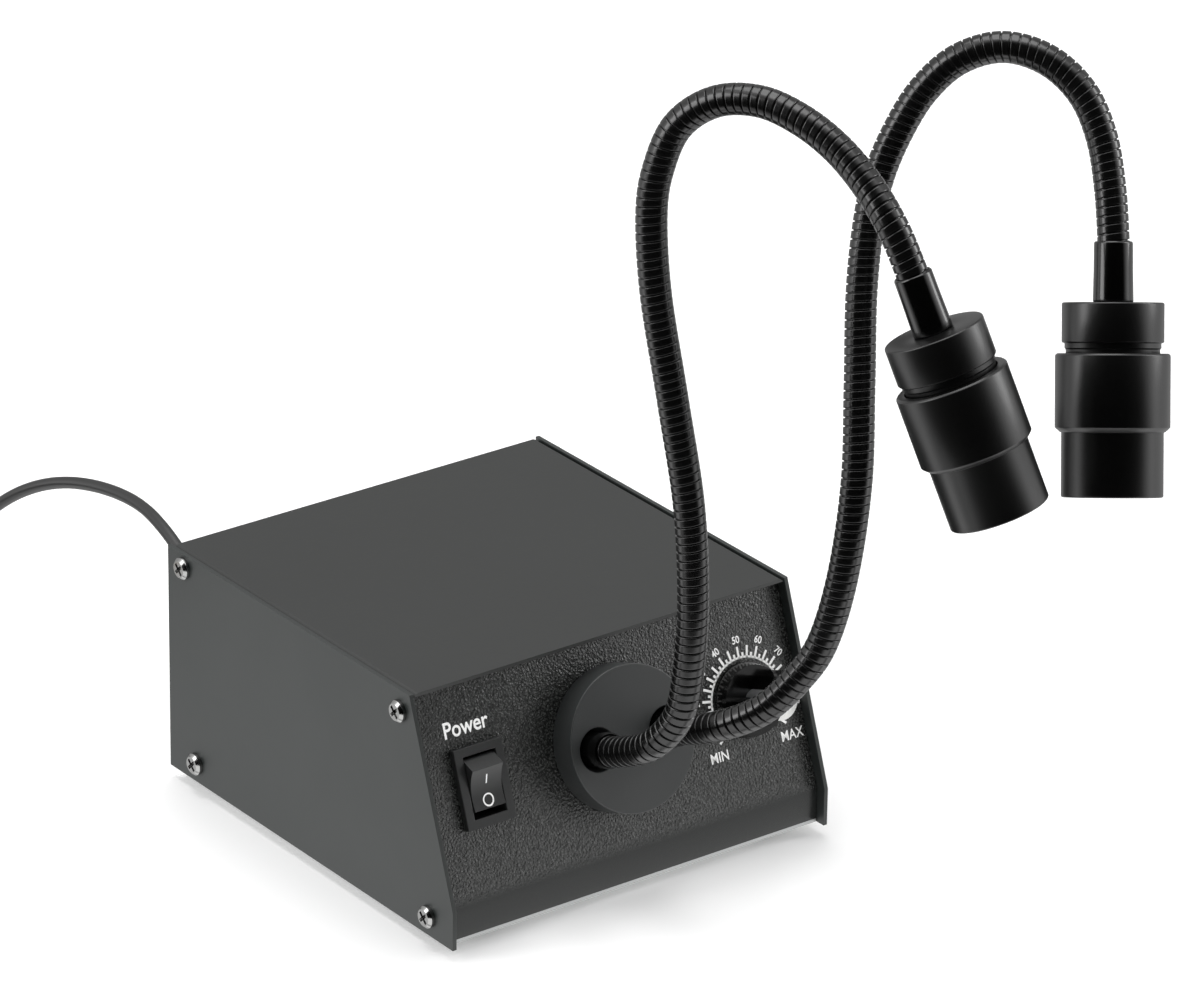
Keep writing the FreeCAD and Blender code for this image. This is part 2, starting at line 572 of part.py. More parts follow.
def dimmer_knob():
    """A skirted knob with a grip bar, pointing where it stands on the dial at rest."""
    foot = panel + v["KnobLift"]
    turn = -v["PointerAngle"]

    def place(side, ahead, out):
        return on_slope(dial_across, v["DialUp"], foot, turn).multiply(at(side, ahead, out))

    skirt = cone("knob_skirt", place(0, 0, 0), "KnobRadius", "KnobRadius - SkirtDraft", "SkirtHeight")
    grip = rod("knob_grip", place(0, 0, 0), "GripRadius", "KnobHeight")
    wing = box("knob_wing", place(-v["PointerWidth"] / 2, 0, 0), "PointerWidth", "PointerReach",
               "KnobHeight - PointerDrop")
    sides = [rod(f"knob_hollow_{side}", place(side * (v["GripWidth"] / 2 + v["GripHollow"]), 0,
                                              v["SkirtHeight"]), "GripHollow", "KnobHeight")
             for side in (-1, 1)]
    bore = rod("knob_bore", place(0, 0, -1), "ShaftRadius + FitGap", "KnobHeight - KnobRoof + 1")
    recess = rod("knob_recess", place(0, 0, -1), "NutWidth / sqrt(3) + NutClearance",
                 "NutHeight - KnobLift + NutClearance + 1")
    radial = Placement(Vector(), Rotation(Vector(1, 0, 0), 90))
    screw_at = place(0, -v["ShaftRadius"], v["KnobHeight"] * 0.45).multiply(radial)
    tap = rod("knob_tap", screw_at, "ScrewRadius", "GripRadius + 2")
    blank = fuse("knob_blank", [skirt, grip, wing])
    node("dimmer_knob", cut("knob", blank, sides + [bore, recess, tap]))
    node("knob_set_screw", rod("knob_screw", screw_at, "ScrewRadius - FitGap",
                               "GripRadius - ShaftRadius - NutClearance"))


def dial_spot():
    """A round adhesive spot beside the dial."""
    place = on_slope(dial_across + v["SpotAcross"], v["DialUp"] - v["SpotDown"], panel)
    disc = rod("spot_disc", place, "SpotRadius", "SpotThickness")
    skirt = rod("spot_relief", on_slope(dial_across, v["DialUp"], panel - 1),
                "NutWidth / sqrt(3) + NutClearance", "SpotThickness + 2")
    return node("dial_spot", cut("spot", disc, [skirt]))


# Rocker switch

def rocker_switch():
    across = switch_across
    up = v["SwitchUp"]
    inside = panel - v["WindowDepth"]
    bezel = centred_box("switch_bezel", across, up, panel, "BezelWidth", "BezelHeight", "BezelThickness")
    case = centred_box("switch_case", across, up, panel - v["CaseDepth"], "CaseWidth", "CaseHeight",
                       "CaseDepth")
    window = centred_box("switch_window", across, up, inside, "WindowWidth", "WindowHeight",
                         "2 * WindowDepth")
    pin_start = on_slope(across - v["CaseWidth"], up, panel + v["PivotUp"])
    along = Placement(Vector(), SIDEWAYS)
    pivots = rod("switch_pivot_hole", pin_start.multiply(along), "PivotRadius + FitGap", "CaseWidth * 2")
    keep = centred_box("switch_pivot_keep", across, up, inside, "CaseWidth - 2 * PivotWall",
                       "WindowDepth", "2 * WindowDepth")
    hole = doc.addObject("Part::MultiCommon", "switch_pivot_pocket")
    hole.Shapes = [pivots, keep]
    node("switch_housing", cut("switch", fuse("switch_blank", [bezel, case]), [window, hole]))
    tabs = [centred_box(f"switch_tab_{index}", across, up + (index - 0.5) * v["TabSpacing"],
                        panel - v["CaseDepth"] - v["TabLength"], "TabWidth", "TabThickness",
                        "TabLength") for index in range(2)]
    node("switch_terminals", group("switch_tab_group", tabs))


def rocker():
    """The rocker in its pivots, with the lower end pressed in and a hollow face between its ridges."""
    body = doc.addObject("PartDesign::Body", "rocker_body")
    shape = profile(body, "rocker_outline", "YZ_Plane", [
        ("-RockerHalf", "-RockerEnd"),
        ("-RockerHalf + RockerSlant", "RockerRise"),
        ("RockerHalf - RockerSlant", "RockerRise"),
        ("RockerHalf", "-RockerEnd"),
        ("RockerHalf - RockerTaper", "-RockerFoot"),
        ("-RockerHalf + RockerTaper", "-RockerFoot"),
    ])
    pad(body, "rocker_pad", shape, "WindowWidth - 2 * RockerGap", midplane=True)
    place = on_slope(switch_across, v["SwitchUp"], panel + v["PivotUp"])
    tip = place.multiply(Placement(Vector(), Rotation(Vector(1, 0, 0), v["RockerAngle"])))
    body.Placement = tip
    end = v["PivotWall"] + v["PivotEndGap"]
    pin = tip.multiply(Placement(Vector(end - v["CaseWidth"] / 2, 0, 0), SIDEWAYS))
    pins = rod("rocker_pins", pin, "PivotRadius", "CaseWidth - 2 * (PivotWall + PivotEndGap)")
    hollow_radius = "((RockerHalf - RockerSlant)^2 + RockerDip^2) / (2 * RockerDip)"
    hollow_up = value(f"RockerRise - RockerDip + {hollow_radius}")
    hollow_place = tip.multiply(Placement(Vector(-v["WindowWidth"], 0, hollow_up), SIDEWAYS))
    hollow = rod("rocker_hollow", hollow_place, hollow_radius, "2 * WindowWidth")
    return node("switch_rocker", cut("rocker_faced", fuse("rocker_fused", [body, pins]), [hollow]))


# Hoses: each arm follows hand-chosen points from its port to its head.

class Route:
    """A smooth line through points, by Catmull-Rom spans, measured along its length."""

    def __init__(self, points, step=0.25):
        ends = [points[0] * 2 - points[1]] + points + [points[-1] * 2 - points[-2]]
        self.trail = [points[0]]
        for before, start, end, after in zip(ends, ends[1:], ends[2:], ends[3:]):
            count = max(2, int(start.distanceToPoint(end) / step))
            for index in range(1, count + 1):
                self.trail.append(self.span(before, start, end, after, index / count))
        self.reach = [0.0]
        for start, end in zip(self.trail, self.trail[1:]):
            self.reach.append(self.reach[-1] + start.distanceToPoint(end))
        self.length = self.reach[-1]

    @staticmethod
    def span(before, start, end, after, share):
        first = (end - before) * 0.5
        last = (after - start) * 0.5
        square = share * share
        cube = square * share
        return (start * (2 * cube - 3 * square + 1) + first * (cube - 2 * square + share)
                + end * (3 * square - 2 * cube) + last * (cube - square))

    def point(self, distance):
        low = 0
        high = len(self.reach) - 1
        while high - low > 1:
            middle = (low + high) // 2
            if self.reach[middle] <= distance:
                low = middle
            else:
                high = middle
        gap = self.reach[high] - self.reach[low]
        share = (distance - self.reach[low]) / gap if gap else 0
        return self.trail[low] + (self.trail[high] - self.trail[low]) * share

    def place(self, distance):
        """The frame at a distance, Z along the hose and X held steady."""
        ahead = self.point(min(distance + 0.5, self.length))
        behind = self.point(max(distance - 0.5, 0))
        turn = Rotation(Vector(1, 0, 0), Vector(), ahead - behind, "ZXY")
        return Placement(self.point(distance), turn)


def ring(place, radius):
    wire = Part.Wire([Part.makeCircle(radius)])
    wire.Placement = place
    return wire


def tube_shape(route, start, end, radius):
    """A plain round bar along a stretch of a route."""
    count = max(1, round((end - start) / 4))
    stations = [start + (end - start) * index / count for index in range(count + 1)]
    return Part.makeLoft([ring(route.place(s), radius) for s in stations], True, True)


def ribbed_shape(route, start, end):
    """A strip-wound hose: rounded ribs with a narrow groove between them, and its bore."""
    count = max(1, round((end - start) / v["RibPitch"]))
    pitch = (end - start) / count
    crest = v["HoseRadius"]
    groove = crest - v["HoseRib"]
    rings = [ring(route.place(start), groove)]
    for index in range(count):
        low = start + index * pitch
        for share, radius in ((0.14, crest), (0.72, crest), (0.86, groove), (1, groove)):
            rings.append(ring(route.place(low + share * pitch), radius))
    return Part.makeLoft(rings, True, True).cut(tube_shape(route, start, end, v["HoseBore"]))


def feature(name, shape):
    thing = doc.addObject("Part::Feature", name + "_shape")
    thing.Shape = shape
    return node(name, thing)


HOSE_POINTS = {
    "left": [(-9.8, -79.5, 53.1), (-6.9, -85.8, 62.5), (-5.4, -87.5, 74.1), (-4.1, -87.4, 94),
             (-3.5, -84.2, 119), (-4.4, -77.9, 146), (-5.1, -71.3, 172), (-4.0, -67.6, 191.8),
             (-1.8, -67.4, 203.6), (2.1, -69.8, 214.4), (7.9, -76.9, 221.5),
             (13.7, -87, 223.5), (18.1, -97.7, 221.1), (21.3, -108.1, 216.2),
             (22.9, -118.2, 209.5), (23.5, -127.3, 201.5)],
    "right": [(12.8, -79.8, 52.2), (18.2, -88.3, 58.4), (24.5, -93.5, 67), (30, -96.7, 77.1),
              (34.9, -98, 95), (39.7, -96.4, 118.5), (44.3, -90.8, 142), (48.8, -85, 164),
              (53.2, -81.6, 180.5), (57, -80.4, 191.7), (62.1, -81, 202.6), (68, -83.1, 212.7),
              (75, -87.8, 220.9), (82.7, -95.6, 225), (89.1, -105.2, 223.2),
              (92.8, -114.4, 216.8), (93.3, -121.7, 207.5), (91.6, -127.7, 196.2)],
}
HEAD_TOPS = {"left": Vector(27.5, -138.7, 177.8), "right": Vector(85.3, -137.9, 170.8)}
HEAD_AXES = {"left": Vector(0.172, -0.368, -0.914), "right": Vector(-0.235, -0.327, -0.916)}
# Where the middle of the port lies for the points above; they move with it.
PORT_DRAWN = Vector(0, -53.75, 41.56)
# How far along the hose its bend at the root ends, and its arch starts and ends.
HOSE_SPLITS = {"left": (66, 184, 262), "right": (78, 200, 270)}
STRETCHES = ("root", "riser", "arch", "leg")


def arm_point(point):
    """A point of an arm, moved along when the port is moved."""
    return Vector(*point) + slope_point(0, v["PortUp"], 0) - PORT_DRAWN


def head_place(word, distance):
    turn = Rotation(Vector(1, 0, 0), Vector(), HEAD_AXES[word], "ZXY")
    return Placement(arm_point(HEAD_TOPS[word]), turn).multiply(at(0, 0, distance))


def hose_route(word, side):
    face = panel + v["PortThickness"]
    deep = face - v["FerruleDepth"] + v["HoseSeat"]
    across = side * v["PortSpacing"] / 2
    start = [slope_point(across, v["PortUp"], out) for out in (deep, deep / 2, 4, 16)]
    neck = [head_place(word, -v["NeckLength"]).Base,
            head_place(word, v["SocketDepth"] - v["NeckLength"]).Base]
    return Route(start + [arm_point(point) for point in HOSE_POINTS[word]] + neck)


def bundle_tip(word):
    """The last of the fibre bundle, which runs past the hose's end into the cap."""
    start = v["SocketDepth"] - v["NeckLength"]
    tip = Part.makeCylinder(v["BundleRadius"], v["NeckSpigot"] + v["HoseSeat"] - start)
    tip.Placement = head_place(word, start)
    return tip


def arm(word, side):
    route = hose_route(word, side)
    marks = (0,) + HOSE_SPLITS[word] + (route.length,)
    for stretch, start, end in zip(STRETCHES, marks, marks[1:]):
        feature(f"hose_{stretch}_{word}", ribbed_shape(route, start, end))
        core = tube_shape(route, start, end, v["BundleRadius"])
        feature(f"bundle_{stretch}_{word}", core.fuse(bundle_tip(word)) if stretch == "leg" else core)
    for name, mark in zip(("root bend end", "arch start", "arch end"), HOSE_SPLITS[word]):
        print("hose", word, name, [round(c, 2) for c in route.point(mark)])
    middle = (marks[2] + marks[3]) / 2
    print("hose", word, "arch middle", [round(c, 2) for c in route.point(middle)])
    print("hose", word, "length", round(route.length, 1))
    return route


# Focusing heads

def turned(name, outline, place):
    """A turned piece: radius and distance pairs along the head's axis, spun round it."""
    points = [Vector(radius, 0, distance) for radius, distance in outline]
    face = Part.Face(Part.makePolygon(points + points[:1]))
    thing = doc.addObject("Part::Feature", name + "_shape")
    thing.Shape = face.revolve(Vector(), Vector(0, 0, 1), 360)
    thing.Placement = place
    return node(name, thing)


def head(word):
    place = head_place(word, 0)
    neck = -v["NeckLength"]
    socket = v["HoseRadius"] + v["SocketGap"]
    seat = neck + v["SocketDepth"] + v["SocketFloor"]
    soft = v["EdgeBreak"]
    spigot = v["NeckSpigot"]
    bundle = v["BundleRadius"] + v["HoleGap"]
    turned("neck_ferrule_" + word, [
        (socket, neck), (v["NeckTopRadius"] - soft / 2, neck), (v["NeckTopRadius"], neck + soft),
        (v["NeckBaseRadius"], -soft), (v["NeckBaseRadius"] - soft, 0), (v["SpigotRadius"], 0),
        (v["SpigotRadius"], spigot), (bundle, spigot), (bundle, seat), (socket, seat),
    ], place)
    cap = v["CapLength"]
    barrel_end = cap + v["BarrelLength"]
    inner = v["BarrelRadius"] - v["BarrelWall"]
    hole = v["SpigotRadius"] + v["FitGap"]
    turned("head_cap_" + word, [
        (hole, 0), (v["CapRadius"] - soft, 0), (v["CapRadius"], soft), (v["CapRadius"], cap - soft),
        (v["CapRadius"] - soft, cap), (v["BarrelRadius"], cap), (v["BarrelRadius"], barrel_end),
        (inner, barrel_end), (inner, spigot + 2), (hole, spigot + 2),
    ], place)
    start = cap + v["FocusGap"]
    step = start + v["SleeveLength"]
    end = step + v["TubeLength"]
    bore = v["BarrelRadius"] + v["SlideGap"]
    seat_radius = v["LensRadius"] + v["SlideGap"]
    shoulder = end - v["ShoulderDepth"]
    lens_top = shoulder + v["ShoulderWidth"]
    chamfer = v["SleeveChamfer"]
    turned("focus_sleeve_" + word, [
        (bore, start), (v["SleeveRadius"] - soft, start), (v["SleeveRadius"], start + soft),
        (v["SleeveRadius"], step - chamfer), (v["CapRadius"] + soft, step),
        (v["CapRadius"], step), (v["CapRadius"], end - soft), (v["CapRadius"] - soft, end),
        (seat_radius, end), (seat_radius, lens_top),
        (seat_radius - v["ShoulderWidth"], lens_top),
        (seat_radius - v["ShoulderWidth"], shoulder), (bore, shoulder),
    ], place)
    lens_end = lens_top + v["HeadLensThickness"]
    turned("head_lens_" + word, [
        (0, lens_top), (v["LensRadius"], lens_top), (v["LensRadius"], lens_end),
        (v["LensRadius"] * 0.6, lens_end + v["LensRise"] * 0.7), (0, lens_end + v["LensRise"]),
    ], place)
    ring_start = lens_end + v["SlideGap"]
    ring_inner = v["LensRadius"] - v["ShoulderWidth"]
    turned("lens_ring_" + word, [
        (ring_inner, lens_end + v["LensRise"] * 0.7), (v["LensRadius"] - v["HoleGap"], ring_start),
        (v["LensRadius"], ring_start), (v["LensRadius"], lens_end + v["RingThickness"]),
        (ring_inner, lens_end + v["RingThickness"]),
    ], place)


# Supply lead

CORD_POINTS = [
    (-31, 98, 40.5), (-28.6, 112, 44.2), (-26.2, 128, 45.6), (-27, 146, 44.1), (-30.5, 162, 40.6),
    (-34.8, 176, 33.4), (-39, 188, 22.6), (-44, 199, 11), (-51, 210, 3.2), (-60, 222, 1.7),
]


def half_arc(start, tangent, end):
    """The arc that leaves a point along a direction and ends at another point."""
    chord = end - start
    half = chord.Length / 2
    along = Vector(chord).normalize()
    sine_side = tangent - along * tangent.dot(along)
    angle = tangent.getAngle(chord)
    middle = (start + end) * 0.5 + Vector(sine_side).normalize() * half * math.tan(angle / 2)
    return Part.Arc(start, middle, end).toShape()


def cord_wire(points):
    """Straight runs joined by tangent arcs, each as large as its two runs allow."""
    edges = []
    last = points[0]
    for before, corner, after in zip(points, points[1:], points[2:]):
        into = (corner - before).normalize()
        away = (after - corner).normalize()
        turn = into.getAngle(away)
        reach = 0.45 * min((corner - before).Length, (after - corner).Length)
        start = corner - into * reach
        end = corner + away * reach
        print("cord radius", round(reach / math.tan(turn / 2), 1))
        edges.append(Part.LineSegment(last, start).toShape())
        edges.append(half_arc(start, into, end))
        last = end
    edges.append(Part.LineSegment(last, points[-1]).toShape())
    return Part.Wire(edges)


def swept(wire, radius):
    start = wire.Edges[0]
    direction = start.tangentAt(start.FirstParameter)
    circle = Part.makeCircle(radius, start.valueAt(start.FirstParameter), direction)
    shape = wire.makePipeShell([Part.Wire([circle])], True, False)
    print("tube volume", round(shape.Volume), "section by length",
          round(math.pi * radius * radius * wire.Length))
    return shape


def coil_wire():
    """Layers of loops that spiral in and out, with a climb where the spiral reverses."""
    pitch = v["CoilPitch"]
    centre = Vector(v["CoilX"], v["CoilY"], v["CordRadius"])
    spot = centre + Vector(v["CoilRadius"], 0, 0)
    heading = Vector(0, 1, 0)
    lead = Vector(0, 2 * v["CordRadius"], 0)
    edges = [Part.LineSegment(spot - lead, spot).toShape()]
    radius = v["CoilRadius"]
    halves = int(v["CoilLoops"]) * 2
    layers = int(v["CoilLayers"])
    for layer in range(layers):
        change = -pitch / 2 if layer % 2 == 0 else pitch / 2
        for half in range(halves + 1):
            if half == halves and layer == layers - 1:
                break
            climb = pitch if half == halves else 0
            side = Vector(-heading.y, heading.x, 0)
            end = spot + side * (2 * radius) + Vector(0, 0, climb)
            middle = (spot + end) * 0.5 + heading * (end - spot).Length * 0.5
            edges.append(half_arc(spot, heading, middle))
            edges.append(half_arc(middle, end - spot, end))
            spot = end
            heading = heading * -1
            radius += change if half < halves else -change
    tail = spot + heading * v["CoilTail"]
    edges.append(Part.LineSegment(spot, tail).toShape())
    return Part.Wire(edges), tail, heading


def least_gap(wire):
    """The least clear gap between turns, from points along the coil's centre line."""
    points = wire.discretize(Distance=1.0)
    skip = int(v["CordRadius"] * 6)
    gap = min(points[i].distanceToPoint(points[j])
              for i in range(len(points)) for j in range(i + skip, len(points)))
    print("coil least gap", round(gap - 2 * v["CordRadius"], 2), "length", round(wire.Length))


def supply_lead():
    outer = back_y - v["RearInset"]
    x = v["CordX"]
    z = v["CordZ"]
    sheet_in = v["SheetThickness"]
    pieces = [
        rod("boot_inner", at(x, outer - sheet_in - v["BootRim"], z, BACKWARDS), "BootRadius + 1",
            "BootRim"),
        rod("boot_neck", at(x, outer - sheet_in, z, BACKWARDS), "BootRadius - 2 * HoleGap", "SheetThickness"),
        rod("boot_flange", at(x, outer, z, BACKWARDS), "BootFlange", "BootRim"),
        cone("boot_taper", at(x, outer + v["BootRim"], z, BACKWARDS), "BootRadius", "BootTip",
             "BootLength - BootRim"),
    ]
    node("cord_boot", fuse("boot", pieces))
    start = Vector(x, outer + v["BootLength"], z)
    coil, coil_end, heading = coil_wire()
    first = coil.Edges[0].valueAt(coil.Edges[0].FirstParameter)
    points = [start] + [Vector(*point) for point in CORD_POINTS]
    points += [first - Vector(0, v["CoilLead"], 0), first]
    feature("supply_cord", swept(cord_wire(points), v["CordRadius"]))
    least_gap(coil)
    feature("cord_coil", swept(coil, v["CordRadius"]))
    boot = rod("adapter_boot", Placement(coil_end, Rotation(Vector(0, 0, 1), heading)),
               "CordRadius + AdapterBootWall", "AdapterBoot")
    height = 2 * coil_end.z
    near = coil_end.y - v["AdapterBoot"]
    case = doc.addObject("Part::Box", "adapter_case")
    bind(case, Length="AdapterWidth", Width="AdapterLength")
    case.Height = height
    case.Placement = at(coil_end.x - v["AdapterWidth"] / 2, near - v["AdapterLength"], 0)
    node("power_adapter", fuse("adapter", [boot, case]))
    pins = [rod(f"adapter_pin_{side}", at(coil_end.x + side * v["PinSpacing"] / 2,
                                          near - v["AdapterLength"] - v["PinLength"],
                                          coil_end.z, BACKWARDS), "PinRadius", "PinLength")
            for side in (-1, 1)]
    node("adapter_pins", group("adapter_pin_group", pins))


for word, side in SIDES.items():
    side_plate(word, side)
side_screws()
front_panel()
top_cover()
base_tray()
rear_panel()
feet()
light_port()
light_engine()
driver_board()
dimmer()
dimmer_knob()
dial_spot()
rocker_switch()
rocker()
for word, side in SIDES.items():
    arm(word, side)
    head(word)
supply_lead()

doc.recompute()
for thing in doc.Objects:
    if "Invalid" in thing.State or "Error" in thing.State:
        raise RuntimeError(f"{thing.Name} failed: {thing.State}")
for thing in nodes:
    if thing.Shape.isNull() or not thing.Shape.isValid():
        raise RuntimeError(f"{thing.Label} has no valid shape")
for thing in nodes:
    thing.Shape.exportStep(f"parts/{thing.Label}.step")
print(len(nodes), "parts")
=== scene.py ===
import math
import bpy
from mathutils import Matrix, Quaternion, Vector


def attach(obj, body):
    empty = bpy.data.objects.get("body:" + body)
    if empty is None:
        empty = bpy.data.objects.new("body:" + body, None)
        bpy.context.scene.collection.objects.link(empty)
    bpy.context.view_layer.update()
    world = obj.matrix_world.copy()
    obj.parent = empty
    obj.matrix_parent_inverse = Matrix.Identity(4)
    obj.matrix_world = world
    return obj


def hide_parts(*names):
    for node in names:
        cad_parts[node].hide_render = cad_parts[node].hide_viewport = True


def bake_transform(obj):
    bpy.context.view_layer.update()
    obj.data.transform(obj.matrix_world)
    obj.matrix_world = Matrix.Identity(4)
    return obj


# Bench light with two gooseneck arms. Metres, X right, Y back, Z up, origin on the bench.

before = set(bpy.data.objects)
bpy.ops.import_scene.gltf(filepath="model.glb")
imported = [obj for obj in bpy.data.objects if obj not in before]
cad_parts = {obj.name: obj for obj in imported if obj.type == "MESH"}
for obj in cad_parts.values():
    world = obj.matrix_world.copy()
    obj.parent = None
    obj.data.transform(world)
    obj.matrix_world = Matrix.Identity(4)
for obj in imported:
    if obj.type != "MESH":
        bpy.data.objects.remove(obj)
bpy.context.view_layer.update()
mm = 0.001
print("frame loaded")


# Tools that every piece uses, with the weld in metres and the angles in degrees

shaping = {
    "weld": 1e-6, "flatWithin": 0.5, "bevelFrom": 30, "smoothWithin": 35, "solidWithin": 40,
}


def deselect():
    if bpy.context.object and bpy.context.object.mode != "OBJECT":
        bpy.ops.object.mode_set(mode="OBJECT")
    bpy.ops.object.select_all(action="DESELECT")


def pick(*pieces):
    deselect()
    for piece in pieces:
        piece.select_set(True)
    bpy.context.view_layer.objects.active = pieces[0]


def editAll(piece):
    pick(piece)
    bpy.ops.object.mode_set(mode="EDIT")
    bpy.ops.mesh.select_mode(type="VERT")
    bpy.ops.mesh.select_all(action="SELECT")


def leaveEdit():
    bpy.ops.object.mode_set(mode="OBJECT")


def newPoint(place):
    # One selected vertex, left in edit mode for extruding.
    deselect()
    bpy.ops.mesh.primitive_plane_add(size=mm, location=(0, 0, 0))
    editAll(bpy.context.object)
    bpy.ops.mesh.merge(type="CENTER")
    bpy.ops.transform.translate(value=place)


def named(name):
    piece = bpy.context.object
    piece.name = name
    piece.data.name = name
    return piece


def settle(piece, place=None):
    # The place goes into the mesh, so the object stays at the origin.
    if place is not None:
        piece.matrix_world = place
    pick(piece)
    bpy.ops.object.transform_apply(location=True, rotation=True, scale=True)
    return piece


def applyModifiers(piece):
    pick(piece)
    for modifier in list(piece.modifiers):
        bpy.ops.object.modifier_apply(modifier=modifier.name)
    return piece


def outward(piece):
    editAll(piece)
    bpy.ops.mesh.remove_doubles(threshold=shaping["weld"])
    bpy.ops.mesh.normals_make_consistent(inside=False)
    leaveEdit()
    return piece


def smooth(piece, degrees=shaping["smoothWithin"]):
    pick(piece)
    bpy.ops.object.shade_smooth_by_angle(angle=math.radians(degrees))
    return piece


def bevelEdges(piece, width, segments=2, degrees=shaping["bevelFrom"]):
    bevel = piece.modifiers.new("softEdges", "BEVEL")
    bevel.width = width
    bevel.segments = segments
    bevel.limit_method = "ANGLE"
    bevel.angle_limit = math.radians(degrees)
    bevel.use_clamp_overlap = True
    return applyModifiers(piece)


def joined(name, pieces):
    pick(*pieces)
    bpy.ops.object.join()
    return named(name)


def dress(piece, material, body, slotName, *nodes):
    piece.data.materials.clear()
    piece.data.materials.append(material)
    if body:
        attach(piece, body)
    if nodes:
        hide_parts(*nodes)
    return piece


def refined(node, width, segments=2):
    # A welded copy of a CAD node's mesh, with its sharp edges softened and its flats shaded evenly.
    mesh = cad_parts[node].data.copy()
    piece = bpy.data.objects.new(node + "Soft", mesh)
    bpy.context.scene.collection.objects.link(piece)
    editAll(piece)
    bpy.ops.mesh.customdata_custom_splitnormals_clear()
    bpy.ops.mesh.remove_doubles(threshold=shaping["weld"])
    bpy.ops.mesh.dissolve_limited(angle_limit=math.radians(shaping["flatWithin"]))
    leaveEdit()
    bevelEdges(piece, width, segments)
    smooth(piece, shaping["solidWithin"])
    even = piece.modifiers.new("evenFaces", "WEIGHTED_NORMAL")
    even.keep_sharp = True
    return applyModifiers(piece)


def softenSolids(solids):
    for node, (body, finish, slotName, edge, segments) in solids.items():
        dress(refined(node, edge * mm, segments), materials[finish], body, slotName, node)


def turnedPiece(name, profile, segments):
    # A circle extruded along (radius, distance) pairs, open at its first and last loop.
    deselect()
    radius, height = profile[0]
    bpy.ops.mesh.primitive_circle_add(vertices=segments, radius=radius, location=(0, 0, height))
    piece = named(name)
    bpy.ops.object.transform_apply(location=True)
    editAll(piece)
    for (before, low), (after, high) in zip(profile, profile[1:]):
        bpy.ops.mesh.extrude_region_move(TRANSFORM_OT_translate={"value": (0, 0, high - low)})
        share = after / before
        bpy.ops.transform.resize(value=(share, share, 1), center_override=(0, 0, high))
    bpy.ops.mesh.select_all(action="DESELECT")
    leaveEdit()
    return settle(outward(piece))


def pickOpenEdges(piece):
    pick(piece)
    bpy.ops.object.mode_set(mode="EDIT")
    bpy.ops.mesh.select_all(action="DESELECT")
    bpy.ops.mesh.select_mode(type="EDGE")
    bpy.ops.mesh.select_non_manifold(extend=False, use_boundary=True, use_wire=False,
                                     use_multi_face=False, use_non_contiguous=False, use_verts=False)


def closeRing(piece):  # a turned ring's two open loops are bridged
    pickOpenEdges(piece)
    bpy.ops.mesh.bridge_edge_loops()
    leaveEdit()
    return outward(piece)


def closeEnds(piece):  # a turned solid's open loops are capped
    pickOpenEdges(piece)
    bpy.ops.mesh.edge_face_add()
    leaveEdit()
    return outward(piece)


# Tools for shader nodes

def setSockets(node, values):
    for socket, value in values.items():
        node.inputs[socket].default_value = value


def addNode(tree, kind, values=None, operation=None):
    node = tree.nodes.new("ShaderNode" + kind)
    if operation:
        node.operation = operation
    setSockets(node, values or {})
    return node


def addGroup(tree, group, values=None):
    node = addNode(tree, "Group")
    node.node_tree = group
    setSockets(node, values or {})
    return node


def addColourMix(tree, values):
    node = addNode(tree, "Mix")
    node.data_type = "RGBA"
    setSockets(node, values)
    return node


def wire(tree, *pairs):
    for source, target in pairs:
        tree.links.new(source, target)


def newGroup(name, inputs, outputs):
    group = bpy.data.node_groups.new(name, "ShaderNodeTree")
    for label, kind in inputs.items():
        group.interface.new_socket(label, in_out="INPUT", socket_type="NodeSocket" + kind)
    for label in outputs:
        group.interface.new_socket(label, in_out="OUTPUT", socket_type="NodeSocketFloat")
    return group, group.nodes.new("NodeGroupInput"), group.nodes.new("NodeGroupOutput")


# Camera, floor and light

cameraView = {
    "place": Vector((-1.02104, -1.39224, 0.88661)),
    "aim": Vector((0.02983, -0.00367, 0.0821)),
    "roll": math.radians(0.814),
    "lens": 221.8,
    "sensor": 36.0,
    "nearest": 0.05,
    "farthest": 30,
}


def makeCamera():
    data = bpy.data.cameras.new("photoCamera")
    data.lens = cameraView["lens"]
    data.sensor_width = cameraView["sensor"]
    data.clip_start = cameraView["nearest"]
    data.clip_end = cameraView["farthest"]
    camera = bpy.data.objects.new("photoCamera", data)
    bpy.context.scene.collection.objects.link(camera)
    look = cameraView["aim"] - cameraView["place"]
    camera.location = cameraView["place"]
    camera.rotation_mode = "QUATERNION"
    camera.rotation_quaternion = look.to_track_quat("-Z", "Y") @ Quaternion((0, 0, 1), cameraView["roll"])
    bpy.context.scene.camera = camera


makeCamera()

# The levels say how bright gloss finds the room, from the side away from the camera round to it.
studio = {
    "floorSize": 14.0, "floorDrop": 0.0002, "floorColour": (0.93, 0.93, 0.93, 1),
    "floorRough": 0.9, "floorShine": 0.1,
    "floorGlow": 0.1, "shadowReach": 0.45, "whiteFrom": 1.3,
    "white": (1, 1, 1, 1), "fill": 0.62, "towardCamera": (-0.6, -0.8, 0), "brightest": 2.2,
    "levels": [(-1.0, 0.22), (-0.5, 0.38), (-0.2, 0.54), (0.02, 1.0), (0.2, 0.6), (0.46, 0.0)],
    "sheet": 1.9, "sheetFull": 0.22, "sheetGone": 0.30, "sheetTurn": (0.3, 0.5),
}


